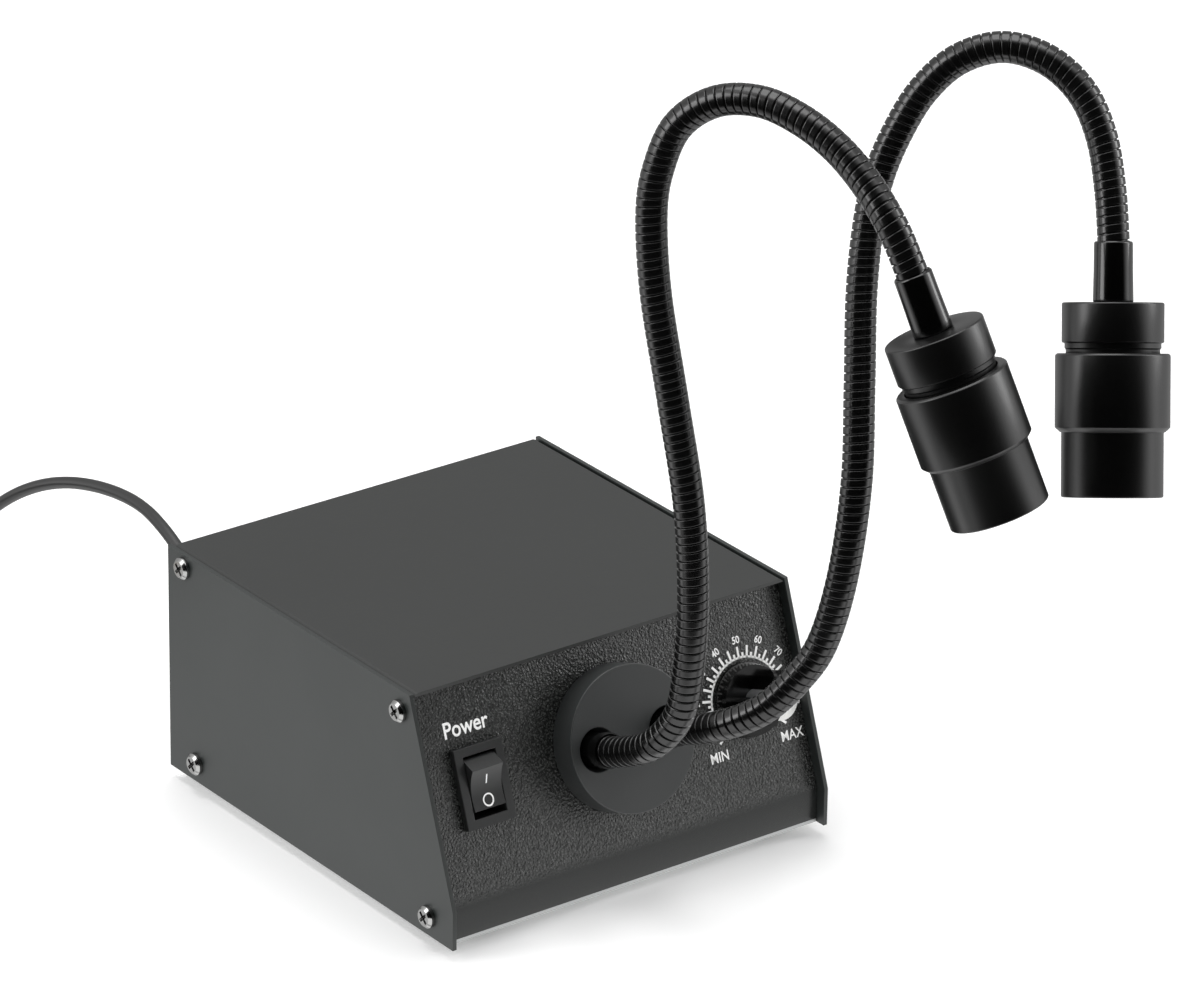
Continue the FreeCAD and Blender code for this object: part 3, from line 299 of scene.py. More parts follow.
def makeMirrored():
    # What gloss mirrors: white sheets at both sides of the object, dark toward the camera.
    group, start, end = newGroup("mirroredRoom", {"Vector": "Vector"}, ["Level"])
    facing = addNode(group, "VectorMath", {1: studio["towardCamera"]}, "DOT_PRODUCT")
    spread = addNode(group, "MapRange", {"From Min": -1.0})
    levels = addNode(group, "ValToRGB")
    ramp = levels.color_ramp
    while len(ramp.elements) < len(studio["levels"]):
        ramp.elements.new(0.5)
    for element, (turn, level) in zip(ramp.elements, studio["levels"]):
        element.position = (turn + 1) / 2
        element.color = (level, level, level, 1)
    scaled = addNode(group, "Math", {1: studio["brightest"]}, "MULTIPLY")
    wire(group,
         (start.outputs["Vector"], facing.inputs[0]),
         (facing.outputs["Value"], spread.inputs["Value"]),
         (spread.outputs["Result"], levels.inputs["Fac"]),
         (levels.outputs["Color"], scaled.inputs[0]),
         (scaled.outputs[0], end.inputs["Level"]))
    return group


mirroredRoom = makeMirrored()


def mirroredFloor(tree):
    # Gloss mirrors the floor as part of the same room, with a white sheet under the object that
    # ends a little way in front of it.
    geometry = addNode(tree, "NewGeometry")
    away = addNode(tree, "VectorMath", {"Scale": -1.0}, "SCALE")
    room = addGroup(tree, mirroredRoom)
    place = addNode(tree, "VectorMath", {1: studio["towardCamera"]}, "DOT_PRODUCT")
    near = addNode(tree, "MapRange", {"From Min": studio["sheetGone"], "From Max": studio["sheetFull"]})
    turn = addNode(tree, "VectorMath", {1: studio["towardCamera"]}, "DOT_PRODUCT")
    low, high = studio["sheetTurn"]
    front = addNode(tree, "MapRange", {"From Min": low, "From Max": high, "To Max": studio["sheet"]})
    sheet = addNode(tree, "Math", operation="MULTIPLY")
    level = addNode(tree, "Math", operation="MAXIMUM")
    card = addNode(tree, "Emission")
    wire(tree,
         (geometry.outputs["Incoming"], away.inputs[0]),
         (away.outputs["Vector"], room.inputs["Vector"]),
         (geometry.outputs["Position"], place.inputs[0]),
         (place.outputs["Value"], near.inputs["Value"]),
         (away.outputs["Vector"], turn.inputs[0]),
         (turn.outputs["Value"], front.inputs["Value"]),
         (near.outputs["Result"], sheet.inputs[0]),
         (front.outputs["Result"], sheet.inputs[1]),
         (sheet.outputs[0], level.inputs[0]),
         (room.outputs["Level"], level.inputs[1]),
         (level.outputs[0], card.inputs["Color"]))
    return card


def makeFloorPaint():
    paint = bpy.data.materials.new("whiteSweep")
    paint.use_nodes = True
    tree = paint.node_tree
    shader = tree.nodes["Principled BSDF"]
    setSockets(shader, {"Base Color": studio["floorColour"], "Roughness": studio["floorRough"],
                        "Specular IOR Level": studio["floorShine"]})
    # Away from the object the floor runs out to plain white.
    path = addNode(tree, "LightPath")
    spot = addNode(tree, "TexCoord")
    reach = addNode(tree, "VectorMath", operation="LENGTH")
    glowing = addNode(tree, "MapRange", {"From Min": studio["shadowReach"],
                                         "From Max": studio["whiteFrom"], "To Min": studio["floorGlow"]})
    seen = addNode(tree, "Math", operation="MULTIPLY")
    glow = addNode(tree, "Emission", {"Color": studio["white"]})
    both = addNode(tree, "AddShader")
    choice = addNode(tree, "MixShader")
    wire(tree,
         (spot.outputs["Object"], reach.inputs[0]),
         (reach.outputs["Value"], glowing.inputs["Value"]),
         (path.outputs["Is Camera Ray"], seen.inputs[0]),
         (glowing.outputs["Result"], seen.inputs[1]),
         (seen.outputs[0], glow.inputs["Strength"]),
         (shader.outputs[0], both.inputs[0]),
         (glow.outputs[0], both.inputs[1]),
         (path.outputs["Is Glossy Ray"], choice.inputs["Fac"]),
         (both.outputs[0], choice.inputs[1]),
         (mirroredFloor(tree).outputs[0], choice.inputs[2]),
         (choice.outputs[0], tree.nodes["Material Output"].inputs["Surface"]))
    return paint


def makeFloor():
    deselect()
    bpy.ops.mesh.primitive_plane_add(size=studio["floorSize"], location=(0, 0, -studio["floorDrop"]))
    floor = settle(named("studioFloor"))
    floor.data.materials.append(makeFloorPaint())


def makeWorld():
    # White to the camera and through glass, the mirrored room to gloss, a soft fill to the rest.
    world = bpy.data.worlds.new("studioWorld")
    bpy.context.scene.world = world
    world.use_nodes = True
    tree = world.node_tree
    background = tree.nodes["Background"]
    setSockets(background, {"Color": studio["white"]})
    path = addNode(tree, "LightPath")
    seen = addNode(tree, "Math", operation="MAXIMUM")
    place = addNode(tree, "TexCoord")
    room = addGroup(tree, mirroredRoom)
    soft = addNode(tree, "Mix", {"A": studio["fill"]})
    strength = addNode(tree, "Math", operation="MAXIMUM")
    wire(tree,
         (path.outputs["Is Camera Ray"], seen.inputs[0]),
         (path.outputs["Is Transmission Ray"], seen.inputs[1]),
         (place.outputs["Generated"], room.inputs["Vector"]),
         (path.outputs["Is Glossy Ray"], soft.inputs["Factor"]),
         (room.outputs["Level"], soft.inputs["B"]),
         (soft.outputs["Result"], strength.inputs[0]),
         (seen.outputs[0], strength.inputs[1]),
         (strength.outputs[0], background.inputs["Strength"]))


makeFloor()
makeWorld()

lamps = {
    "leftBox": {"place": (-1.95, 0.6, 1.1), "aim": (0, -0.03, 0.1), "size": (1.0, 1.8), "power": 26},
    "rightBox": {"place": (2.1, -1.0, 1.1), "aim": (0, -0.03, 0.12), "size": (0.7, 1.7), "power": 22},
    "topBox": {"place": (0.1, 0.5, 2.2), "aim": (0, 0, 0), "size": (1.6, 1.6), "power": 26},
}


def makeLamps():
    for name, values in lamps.items():
        data = bpy.data.lights.new(name, "AREA")
        data.shape = "RECTANGLE"
        data.size, data.size_y = values["size"]
        data.energy = values["power"]
        lamp = bpy.data.objects.new(name, data)
        bpy.context.scene.collection.objects.link(lamp)
        lamp.location = values["place"]
        look = Vector(values["aim"]) - Vector(values["place"])
        lamp.rotation_mode = "QUATERNION"
        lamp.rotation_quaternion = look.to_track_quat("-Z", "Y")


makeLamps()
bpy.context.scene.view_settings.view_transform = "Standard"
print("camera and studio ready")


# Effects that several materials share

effects = {
    "grainDetail": 3, "wearDetail": 5, "wearRoughness": 0.6, "wearSpan": (0.3, 0.7),
    "cellSmoothness": 0.6, "rippleDetail": 2, "rippleShift": (0.0008, 0.0008, 0.0008),
}


def makeGrain():
    # Fine waviness of paint or moulded skin, as a height.
    group, start, end = newGroup("fineGrain", {"Vector": "Vector", "Scale": "Float"}, ["Height"])
    noise = addNode(group, "TexNoise", {"Detail": effects["grainDetail"]})
    wire(group,
         (start.outputs["Vector"], noise.inputs["Vector"]),
         (start.outputs["Scale"], noise.inputs["Scale"]),
         (noise.outputs["Fac"], end.inputs["Height"]))
    return group


def makeHandling():
    # Slow changes of gloss from handling and dust, as a roughness and a share of worn colour.
    group, start, end = newGroup(
        "handling", {"Vector": "Vector", "Scale": "Float", "Low": "Float", "High": "Float"},
        ["Gloss", "Share"])
    noise = addNode(group, "TexNoise",
                    {"Detail": effects["wearDetail"], "Roughness": effects["wearRoughness"]})
    least, most = effects["wearSpan"]
    ramp = addNode(group, "MapRange", {"From Min": least, "From Max": most})
    wire(group,
         (start.outputs["Vector"], noise.inputs["Vector"]),
         (start.outputs["Scale"], noise.inputs["Scale"]),
         (noise.outputs["Fac"], ramp.inputs["Value"]),
         (start.outputs["Low"], ramp.inputs["To Min"]),
         (start.outputs["High"], ramp.inputs["To Max"]),
         (ramp.outputs["Result"], end.inputs["Gloss"]),
         (noise.outputs["Fac"], end.inputs["Share"]))
    return group


def makeHammer():
    # The pebbled skin of hammer paint: soft cells with a finer ripple between them. The cells also place
    # the speckle, whose light spots are partly painted glints.
    group, start, end = newGroup("hammerSkin", {"Vector": "Vector", "Scale": "Float"},
                                 ["Height", "SpeckleAndGlint"])
    cells = addNode(group, "TexVoronoi")
    cells.feature = "SMOOTH_F1"
    setSockets(cells, {"Smoothness": effects["cellSmoothness"]})
    ripple = addNode(group, "TexNoise", {"Detail": effects["rippleDetail"]})
    warp = addNode(group, "VectorMath", {1: effects["rippleShift"]}, "MULTIPLY_ADD")
    total = addNode(group, "Math", operation="ADD")
    wire(group,
         (start.outputs["Vector"], ripple.inputs["Vector"]),
         (start.outputs["Scale"], ripple.inputs["Scale"]),
         (ripple.outputs["Color"], warp.inputs[0]),
         (start.outputs["Vector"], warp.inputs[2]),
         (warp.outputs[0], cells.inputs["Vector"]),
         (start.outputs["Scale"], cells.inputs["Scale"]),
         (cells.outputs["Distance"], total.inputs[0]),
         (ripple.outputs["Fac"], total.inputs[1]),
         (total.outputs[0], end.inputs["Height"]),
         (cells.outputs["Distance"], end.inputs["SpeckleAndGlint"]))
    return group


fineGrain = makeGrain()
handling = makeHandling()
hammerSkin = makeHammer()


def shadeOf(grey):  # a grey as it is written on screen, turned to a linear colour
    share = grey / 255
    return share / 12.92 if share <= 0.04045 else ((share + 0.055) / 1.055) ** 2.4


def screenColour(red, green, blue):
    return (shadeOf(red), shadeOf(green), shadeOf(blue), 1)


plainFinish = {  # what a finish has unless it says otherwise
    "metallic": 0.0, "clear": 0.0, "refraction": 1.5,
    "wearScale": 18.0, "grain": 0.05, "grainScale": 900.0, "grainDepth": 0.0002,
}


def surface(name, finish):
    values = {**plainFinish, "worn": finish["colour"], **finish}
    material = bpy.data.materials.new(name)
    material.use_nodes = True
    tree = material.node_tree
    shader = tree.nodes["Principled BSDF"]
    setSockets(shader, {"Metallic": values["metallic"], "Transmission Weight": values["clear"],
                        "IOR": values["refraction"]})
    place = addNode(tree, "TexCoord")
    low, high = values["rough"]
    worn = addGroup(tree, handling, {"Scale": values["wearScale"], "Low": low, "High": high})
    blend = addColourMix(tree, {"A": values["colour"], "B": values["worn"]})
    grain = addGroup(tree, fineGrain, {"Scale": values["grainScale"]})
    bump = addNode(tree, "Bump", {"Strength": values["grain"], "Distance": values["grainDepth"]})
    wire(tree,
         (place.outputs["Object"], worn.inputs["Vector"]),
         (worn.outputs["Gloss"], shader.inputs["Roughness"]),
         (worn.outputs["Share"], blend.inputs["Factor"]),
         (blend.outputs["Result"], shader.inputs["Base Color"]),
         (place.outputs["Object"], grain.inputs["Vector"]),
         (grain.outputs["Height"], bump.inputs["Height"]),
         (bump.outputs["Normal"], shader.inputs["Normal"]))
    return material


finishes = {
    "platePaint": {"colour": screenColour(30, 34, 33), "worn": screenColour(34, 38, 37),
                   "rough": (0.42, 0.5), "grain": 0.05},
    "coverPaint": {"colour": screenColour(24, 26, 25), "worn": screenColour(28, 30, 29),
                   "rough": (0.4, 0.48), "grain": 0.05},
    "discAnodised": {"colour": screenColour(40, 42, 42), "worn": screenColour(44, 46, 46),
                     "rough": (0.42, 0.5), "grain": 0.03},
    "headAnodised": {"colour": screenColour(4, 4, 4), "worn": screenColour(6, 6, 6),
                     "rough": (0.3, 0.36), "grain": 0.03},
    "neckGloss": {"colour": screenColour(3, 3, 3), "rough": (0.14, 0.2), "grain": 0.02},
    "hoseBlack": {"colour": screenColour(4, 4, 4), "worn": screenColour(12, 12, 12),
                  "rough": (0.17, 0.24), "grain": 0.04},
    "knobGloss": {"colour": screenColour(4, 4, 4), "rough": (0.1, 0.18), "grain": 0.02},
    "switchBlack": {"colour": screenColour(30, 31, 31), "rough": (0.34, 0.42), "grain": 0.06},
    "printWhite": {"colour": screenColour(253, 253, 252), "rough": (0.4, 0.5), "grain": 0.02},
    "spotWhite": {"colour": screenColour(244, 244, 242), "rough": (0.4, 0.5), "grain": 0.02},
    "screwChrome": {"colour": screenColour(150, 150, 149), "rough": (0.12, 0.22),
                    "metallic": 1.0, "grain": 0.03},
    "bareSheet": {"colour": screenColour(150, 152, 152), "worn": screenColour(170, 171, 170),
                  "rough": (0.34, 0.5), "metallic": 1.0, "grain": 0.06, "grainScale": 300.0},
    "plainAluminium": {"colour": screenColour(196, 197, 199), "rough": (0.3, 0.42),
                       "metallic": 1.0, "grain": 0.05},
    "brassPlain": {"colour": screenColour(190, 160, 98), "rough": (0.25, 0.35),
                   "metallic": 1.0, "grain": 0.03},
    "footRubber": {"colour": screenColour(26, 26, 26), "rough": (0.7, 0.85), "grain": 0.2},
    "cordBlack": {"colour": screenColour(24, 24, 24), "worn": screenColour(30, 30, 30),
                  "rough": (0.3, 0.42), "grain": 0.05},
    "adapterBlack": {"colour": screenColour(26, 26, 27), "rough": (0.45, 0.6), "grain": 0.25,
                     "grainScale": 1400.0},
    "boardGreen": {"colour": screenColour(24, 92, 52), "worn": screenColour(30, 104, 60),
                   "rough": (0.3, 0.4), "grain": 0.05},
    "partDark": {"colour": screenColour(44, 44, 50), "rough": (0.4, 0.5), "grain": 0.05},
    "ledBoard": {"colour": screenColour(225, 225, 205), "rough": (0.4, 0.5), "grain": 0.03},
    "fibreSheath": {"colour": screenColour(214, 210, 196), "rough": (0.5, 0.6), "grain": 0.05},
    "lensGlass": {"colour": (1, 1, 1, 1), "rough": (0.02, 0.04), "clear": 1.0, "grain": 0.0},
}
materials = {name: surface(name, values) for name, values in finishes.items()}

# Black gloss hammer paint on the slope, which runs out to plain paint on the lip below. The light crest
# colour of its speckle is partly the paint's own tone and partly painted glints.
hammerPaint = {
    "deep": screenColour(22, 23, 22), "deepAt": 0.55, "crest": screenColour(58, 60, 58),
    "crestAt": 0.12, "lipTone": screenColour(30, 32, 31), "rough": 0.25, "size": 1650.0,
    "depth": 0.0004, "strength": 0.42, "lipTop": 0.0125, "slopeFoot": 0.0155,
}


def makeHammerPaint():
    values = hammerPaint
    material = bpy.data.materials.new("hammerPaint")
    material.use_nodes = True
    tree = material.node_tree
    shader = tree.nodes["Principled BSDF"]
    setSockets(shader, {"Roughness": values["rough"]})
    place = addNode(tree, "TexCoord")
    skin = addGroup(tree, hammerSkin, {"Scale": values["size"]})
    height = addNode(tree, "SeparateXYZ")
    above = addNode(tree, "MapRange", {"From Min": values["lipTop"], "From Max": values["slopeFoot"]})
    # The light crest tone is partly the paint's own speckle and partly painted glints.
    speckleAndGlint = addNode(tree, "ValToRGB")
    for element, shade in zip(speckleAndGlint.color_ramp.elements, ("crest", "deep")):
        element.position = values[shade + "At"]
        element.color = values[shade]
    tone = addColourMix(tree, {"A": values["lipTone"]})
    rise = addNode(tree, "Math", operation="MULTIPLY")
    bump = addNode(tree, "Bump", {"Distance": values["depth"], "Strength": values["strength"]})
    wire(tree,
         (place.outputs["Object"], skin.inputs["Vector"]),
         (place.outputs["Object"], height.inputs["Vector"]),
         (height.outputs["Z"], above.inputs["Value"]),
         (skin.outputs["SpeckleAndGlint"], speckleAndGlint.inputs["Fac"]),
         (above.outputs["Result"], tone.inputs["Factor"]),
         (speckleAndGlint.outputs["Color"], tone.inputs["B"]),
         (tone.outputs["Result"], shader.inputs["Base Color"]),
         (skin.outputs["Height"], rise.inputs[0]),
         (above.outputs["Result"], rise.inputs[1]),
         (rise.outputs[0], bump.inputs["Height"]),
         (bump.outputs["Normal"], shader.inputs["Normal"]))
    return material


materials["hammerPaint"] = makeHammerPaint()
print("materials ready")


# Places on the sloping panel

slope = {
    "bendY": -63.75 * mm, "bendZ": 13.6 * mm, "setback": 19.1 * mm, "rise": 53.4 * mm,
    "panel": -3 * mm,
}
tilt = math.atan2(slope["setback"], slope["rise"])


def onSlope(across, up, out, turn=0.0):
    # Millimetres across, up the slope and out of it, as a matrix whose Z points outward.
    right = Vector((1, 0, 0))
    rising = Vector((0, math.sin(tilt), math.cos(tilt)))
    outwards = Vector((0, -math.cos(tilt), math.sin(tilt)))
    foot = Vector((0, slope["bendY"], slope["bendZ"]))
    point = foot + right * across * mm + rising * up * mm + outwards * out * mm
    turned = Matrix((right, rising, outwards)).transposed().to_4x4()
    return Matrix.Translation(point) @ turned @ Matrix.Rotation(math.radians(turn), 4, "Z")


# Housing sheets, screws and feet, each as body, finish, slot, soft edge in millimetres and its steps

housingSolids = {
    "side_plate_left": ("housing", "platePaint", "plate_paint", 0.25, 3),
    "side_plate_right": ("housing", "platePaint", "plate_paint", 0.25, 3),
    "front_panel": ("housing", "hammerPaint", "panel_paint", 0.3, 2),
    "top_cover": ("housing", "coverPaint", "cover_paint", 0.25, 2),
    "rear_panel": ("housing", "coverPaint", "cover_paint", 0.25, 2),
    "base_tray": ("housing", "bareSheet", "bare_sheet", 0.2, 2),
    "feet": ("housing", "footRubber", "foot_rubber", 0.4, 2),
    "side_screws": ("housing", "screwChrome", "screw_chrome", 0.12, 2),
    "light_port_disc": ("housing", "discAnodised", "port_metal", 0.3, 3),
}
softenSolids(housingSolids)
print("housing done")


# Words, numbers and ticks printed on the panel

prints = {
    "lift": 0.03, "narrow": 0.88,
    "words": [
        {"text": "Power", "across": -50.6, "up": 42.6, "size": 5.9, "align": "LEFT", "bold": 0.09},
        {"text": "MIN", "across": 30.5, "up": 14.9, "size": 3.8, "align": "CENTER", "bold": 0.04},
        {"text": "MAX", "across": 54.1, "up": 14.8, "size": 3.8, "align": "CENTER", "bold": 0.04},
    ],
    "dialAcross": 42.2, "dialUp": 28.4, "ringRadius": 10.9, "ringWidth": 0.55, "sweep": 260,
    "ticks": 40, "longTick": 3.2, "shortTick": 1.5, "tickWidth": 0.65,
    "tens": 10, "numberFoot": 15.0, "numberSize": 2.7, "numberBold": 0.05,
}


def lettering(text, size, place, align, bold):
    deselect()
    bpy.ops.object.text_add()
    words = bpy.context.object
    words.data.body = text
    words.data.size = size * mm
    words.data.align_x = align
    words.data.offset = bold * mm
    bpy.ops.object.convert(target="MESH")
    return settle(bpy.context.object, place @ Matrix.Diagonal((prints["narrow"], 1, 1, 1)))


def bar(width, height, place):  # a flat printed stroke whose foot is at the place's origin
    deselect()
    bpy.ops.mesh.primitive_plane_add(size=1, location=(0, height * mm / 2, 0))
    stroke = bpy.context.object
    stroke.scale = (width * mm, height * mm, 1)
    return settle(settle(stroke), place)


def ringStroke(radius, width, place, sweep=360.0, segments=96):
    # A flat printed ring or arc, spun from one short edge and centred on the place's Y.
    newPoint((0, radius * mm, 0))
    stroke = bpy.context.object
    bpy.ops.mesh.extrude_region_move(TRANSFORM_OT_translate={"value": (0, width * mm, 0)})
    bpy.ops.mesh.select_all(action="SELECT")
    bpy.ops.transform.rotate(value=math.radians(sweep / 2), orient_axis="Z", center_override=(0, 0, 0))
    bpy.ops.mesh.spin(steps=segments, angle=math.radians(sweep), center=(0, 0, 0), axis=(0, 0, -1))
    bpy.ops.mesh.select_all(action="SELECT")
    bpy.ops.mesh.remove_doubles(threshold=shaping["weld"])
    leaveEdit()
    return settle(stroke, place)


def makePrints():
    out = slope["panel"] / mm + prints["lift"]
    dial = (prints["dialAcross"], prints["dialUp"], out)
    strokes = []
    for word in prints["words"]:
        place = onSlope(word["across"], word["up"], out)
        strokes.append(lettering(word["text"], word["size"], place, word["align"], word["bold"]))
    strokes.append(ringStroke(prints["ringRadius"], prints["ringWidth"], onSlope(*dial), prints["sweep"]))
    for step in range(prints["ticks"] + 1):
        place = onSlope(*dial, prints["sweep"] * (0.5 - step / prints["ticks"]))
        foot = place @ Matrix.Translation((0, prints["ringRadius"] * mm, 0))
        length = prints["longTick"] if step % 2 == 0 else prints["shortTick"]
        strokes.append(bar(prints["tickWidth"], length, foot))
    # MIN and MAX stand where the first and the last number would.
    for tens in range(1, prints["tens"]):
        place = onSlope(*dial, prints["sweep"] * (0.5 - tens / prints["tens"]))
        foot = place @ Matrix.Translation((0, prints["numberFoot"] * mm, 0))
        number = lettering(str(tens * 10), prints["numberSize"], foot, "CENTER", prints["numberBold"])
        strokes.append(number)
    dress(joined("panelPrint", strokes), materials["printWhite"], "housing", "spot_white")


makePrints()
print("prints done")


# Gooseneck hoses. The band is a strip's outline along one turn, as a radius and a share of the turn.

hose = {
    "radii": {"groove": 3.5, "shoulder": 3.94, "crest": 4.0}, "bundle": 2.4, "pitch": 2.2,
    "band": [("groove", 0.0), ("shoulder", 0.05), ("crest", 0.1), ("crest", 0.16), ("crest", 0.76),
             ("crest", 0.82), ("shoulder", 0.87), ("groove", 0.92), ("groove", 1.0)],
    "steps": 36, "bundleSides": 20, "bundleStep": 4, "curveSteps": 32, "smoothWithin": 50,
    "points": {
        "left": [(-9.8, -79.5, 53.1), (-6.9, -85.8, 62.5), (-5.4, -87.5, 74.1), (-4.1, -87.4, 94),
                 (-3.5, -84.2, 119), (-4.4, -77.9, 146), (-5.1, -71.3, 172), (-4.0, -67.6, 191.8),
                 (-1.8, -67.4, 203.6), (2.1, -69.8, 214.4), (7.9, -76.9, 221.5),
                 (13.7, -87, 223.5), (18.1, -97.7, 221.1), (21.3, -108.1, 216.2),
                 (22.9, -118.2, 209.5), (23.5, -127.3, 201.5)],
        "right": [(12.8, -79.8, 52.2), (18.2, -88.3, 58.4), (24.5, -93.5, 67), (30, -96.7, 77.1),
                  (34.9, -98, 95), (39.7, -96.4, 118.5), (44.3, -90.8, 142), (48.8, -85, 164),
                  (53.2, -81.6, 180.5), (57, -80.4, 191.7), (62.1, -81, 202.6), (68, -83.1, 212.7),
                  (75, -87.8, 220.9), (82.7, -95.6, 225), (89.1, -105.2, 223.2),
                  (92.8, -114.4, 216.8), (93.3, -121.7, 207.5), (91.6, -127.7, 196.2)],
    },
    "seam": {"left": 184, "right": 200},  # where the lower arm ends, along the hose
    "hinges": {"left": (2, 7, 13), "right": (3, 9, 15)},  # the points where bending starts or ends
    "portOut": (-16.3, -8.15, 4, 16), "portAcross": {"left": -11, "right": 11}, "portUp": 29.7,
    "faceOut": 6, "neckReach": (-15, -9), "intoHead": 10,
}
heads = {
    "left": {"top": Vector((27.5, -138.7, 177.8)), "axis": Vector((0.172, -0.368, -0.914))},
    "right": {"top": Vector((85.3, -137.9, 170.8)), "axis": Vector((-0.235, -0.327, -0.916))},
}


def onPort(side, out):
    return onSlope(hose["portAcross"][side], hose["portUp"], out).translation


def headPlace(side, distance=0.0):
    # The head's own frame: Z along its axis from the top of its cap, X held steady.
    axis = heads[side]["axis"].normalized()
    right = (Vector((1, 0, 0)) - axis * axis.x).normalized()
    turned = Matrix((right, axis.cross(right), axis)).transposed().to_4x4()
    point = (heads[side]["top"] + axis * distance) * mm
    return Matrix.Translation(point) @ turned


def hosePath(side, points):
    # The arm's centre line as a smooth curve, each point's handles along its neighbours.
    knots = [onPort(side, out) for out in hose["portOut"]] + points
    knots += [headPlace(side, distance).translation for distance in hose["neckReach"]]
    data = bpy.data.curves.new(f"{side}HosePath", "CURVE")
    data.dimensions = "3D"
    data.resolution_u = hose["curveSteps"]
    spline = data.splines.new("BEZIER")
    spline.bezier_points.add(len(knots) - 1)
    ends = [knots[0] * 2 - knots[1]] + knots + [knots[-1] * 2 - knots[-2]]
    for knot, before, here, after in zip(spline.bezier_points, ends, ends[1:], ends[2:]):
        knot.handle_left_type = knot.handle_right_type = "FREE"
        knot.co = here
        knot.handle_left = here - (after - before) / 6
        knot.handle_right = here + (after - before) / 6
    path = bpy.data.objects.new(f"{side}HosePath", data)
    bpy.context.scene.collection.objects.link(path)
    return path, spline.calc_length(resolution=2 * hose["curveSteps"]) / mm


def alongPath(piece, path):
    follow = piece.modifiers.new("followPath", "CURVE")
    follow.object = path
    follow.deform_axis = "POS_Z"
    return smooth(applyModifiers(piece), hose["smoothWithin"])


def woundTube(name, pitch, start, turns, path):
    # Strip-wound hose: one band's rounded section, screwed round and up, then bent.
    band = [(hose["radii"][level] * mm, share * pitch * mm) for level, share in hose["band"]]
    newPoint((band[0][0], 0, start * mm))
    piece = bpy.context.object
    for (before, low), (after, high) in zip(band, band[1:]):
        step = (after - before, 0, high - low)
        bpy.ops.mesh.extrude_region_move(TRANSFORM_OT_translate={"value": step})
    leaveEdit()
    named(name)
    screw = piece.modifiers.new("wind", "SCREW")
    screw.axis = "Z"
    screw.angle = math.tau
    screw.screw_offset = pitch * mm
    screw.iterations = turns
    screw.steps = hose["steps"]
    screw.render_steps = hose["steps"]
    screw.use_merge_vertices = True
    screw.merge_threshold = shaping["weld"]
    return alongPath(outward(applyModifiers(piece)), path)


def coreTube(name, start, end, path):  # the fibre bundle inside a stretch of hose
    count = max(1, round((end - start) / hose["bundleStep"]))
    step = (end - start) / count
    profile = [(hose["bundle"] * mm, (start + index * step) * mm) for index in range(count + 1)]
    return alongPath(closeEnds(turnedPiece(name, profile, hose["bundleSides"])), path)


def makeHoses():
    for side in ("left", "right"):
        points = [Vector(point) * mm for point in hose["points"][side]]
        path, length = hosePath(side, points)
        turns = round(length / hose["pitch"])
        pitch = length / turns
        lowTurns = round(hose["seam"][side] / pitch)
        seam = lowTurns * pitch
        lowHose = woundTube(f"{side}LowHose", pitch, 0, lowTurns, path)
        highHose = woundTube(f"{side}HighHose", pitch, seam, turns - lowTurns, path)
        lowCore = coreTube(f"{side}LowBundle", 0, seam, path)
        highCore = coreTube(f"{side}HighBundle", seam, length + hose["intoHead"], path)
        foot, archFrom, archTo = (points[index] for index in hose["hinges"][side])
        archTo.z = archFrom.z  # measured on the level, because the arch's far end comes down again
        low = ("housing", f"{side}_riser", onPort(side, hose["faceOut"]), foot)
        high = (f"{side}_riser", f"{side}_head", archFrom, archTo)
        for pieces, stretches, (lower, upper, start, end) in (
            ((lowHose, lowCore), ("root", "riser"), low),
            ((highHose, highCore), ("arch", "leg"), high),
        ):
            for piece, kind, finish, slotName in zip(
                    pieces, ("hose", "bundle"), ("hoseBlack", "fibreSheath"), ("hose_metal", "fibre")):
                nodes = [f"{kind}_{stretch}_{side}" for stretch in stretches]
                dress(piece, materials[finish], None, slotName, *nodes)
                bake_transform(piece)
        bpy.data.objects.remove(path)
        print(side, "hose", round(length, 1), "mm,", turns, "turns")


makeHoses()


# Focusing heads: radius and distance of each turned piece's outline, from the top of the cap

headShape = {
    "neck": [(4.15, -15), (4.5, -15), (4.8, -14.6), (4.85, -8), (5.0, -0.9), (5.0, -0.3),
             (4.8, 0), (3.4, 0), (3.4, 3.9), (2.6, 3.9), (2.6, -8.8), (4.15, -8.8)],
    "cap": [(3.45, 0), (12.3, 0), (12.6, 0.3), (12.6, 9.7), (12.3, 10), (11.9, 10), (11.9, 11.3),
            (11.6, 11.5), (11.6, 28), (10.3, 28), (10.3, 6), (3.45, 6)],
    "sleeve": [(11.95, 12.5), (13.7, 12.5), (14.2, 13.0), (14.2, 30.7), (12.9, 31.9), (12.6, 31.9),
               (12.6, 47.6), (12.3, 47.9), (10.95, 47.9), (10.95, 40.9), (9.9, 40.9), (9.9, 39.9),
               (11.95, 39.9)],
    "ring": [(9.9, 44.9), (10.8, 43.9), (10.9, 43.9), (10.9, 45.3), (9.9, 45.3)],
    "lens": [(0.02, 40.9), (10.9, 40.9), (10.9, 43.9), (9.0, 44.35), (6.54, 44.8), (3.5, 45.1),
             (0.02, 45.2)],
    "sides": 128, "bevelFrom": 25, "edge": 0.15, "lensEdge": 0.05,
}


def headPiece(name, outline, side, closing, edge):
    profile = [(radius * mm, distance * mm) for radius, distance in outline]
    piece = closing(turnedPiece(name, profile, headShape["sides"]))
    bevelEdges(piece, edge * mm, degrees=headShape["bevelFrom"])
    return smooth(settle(piece, headPlace(side)))


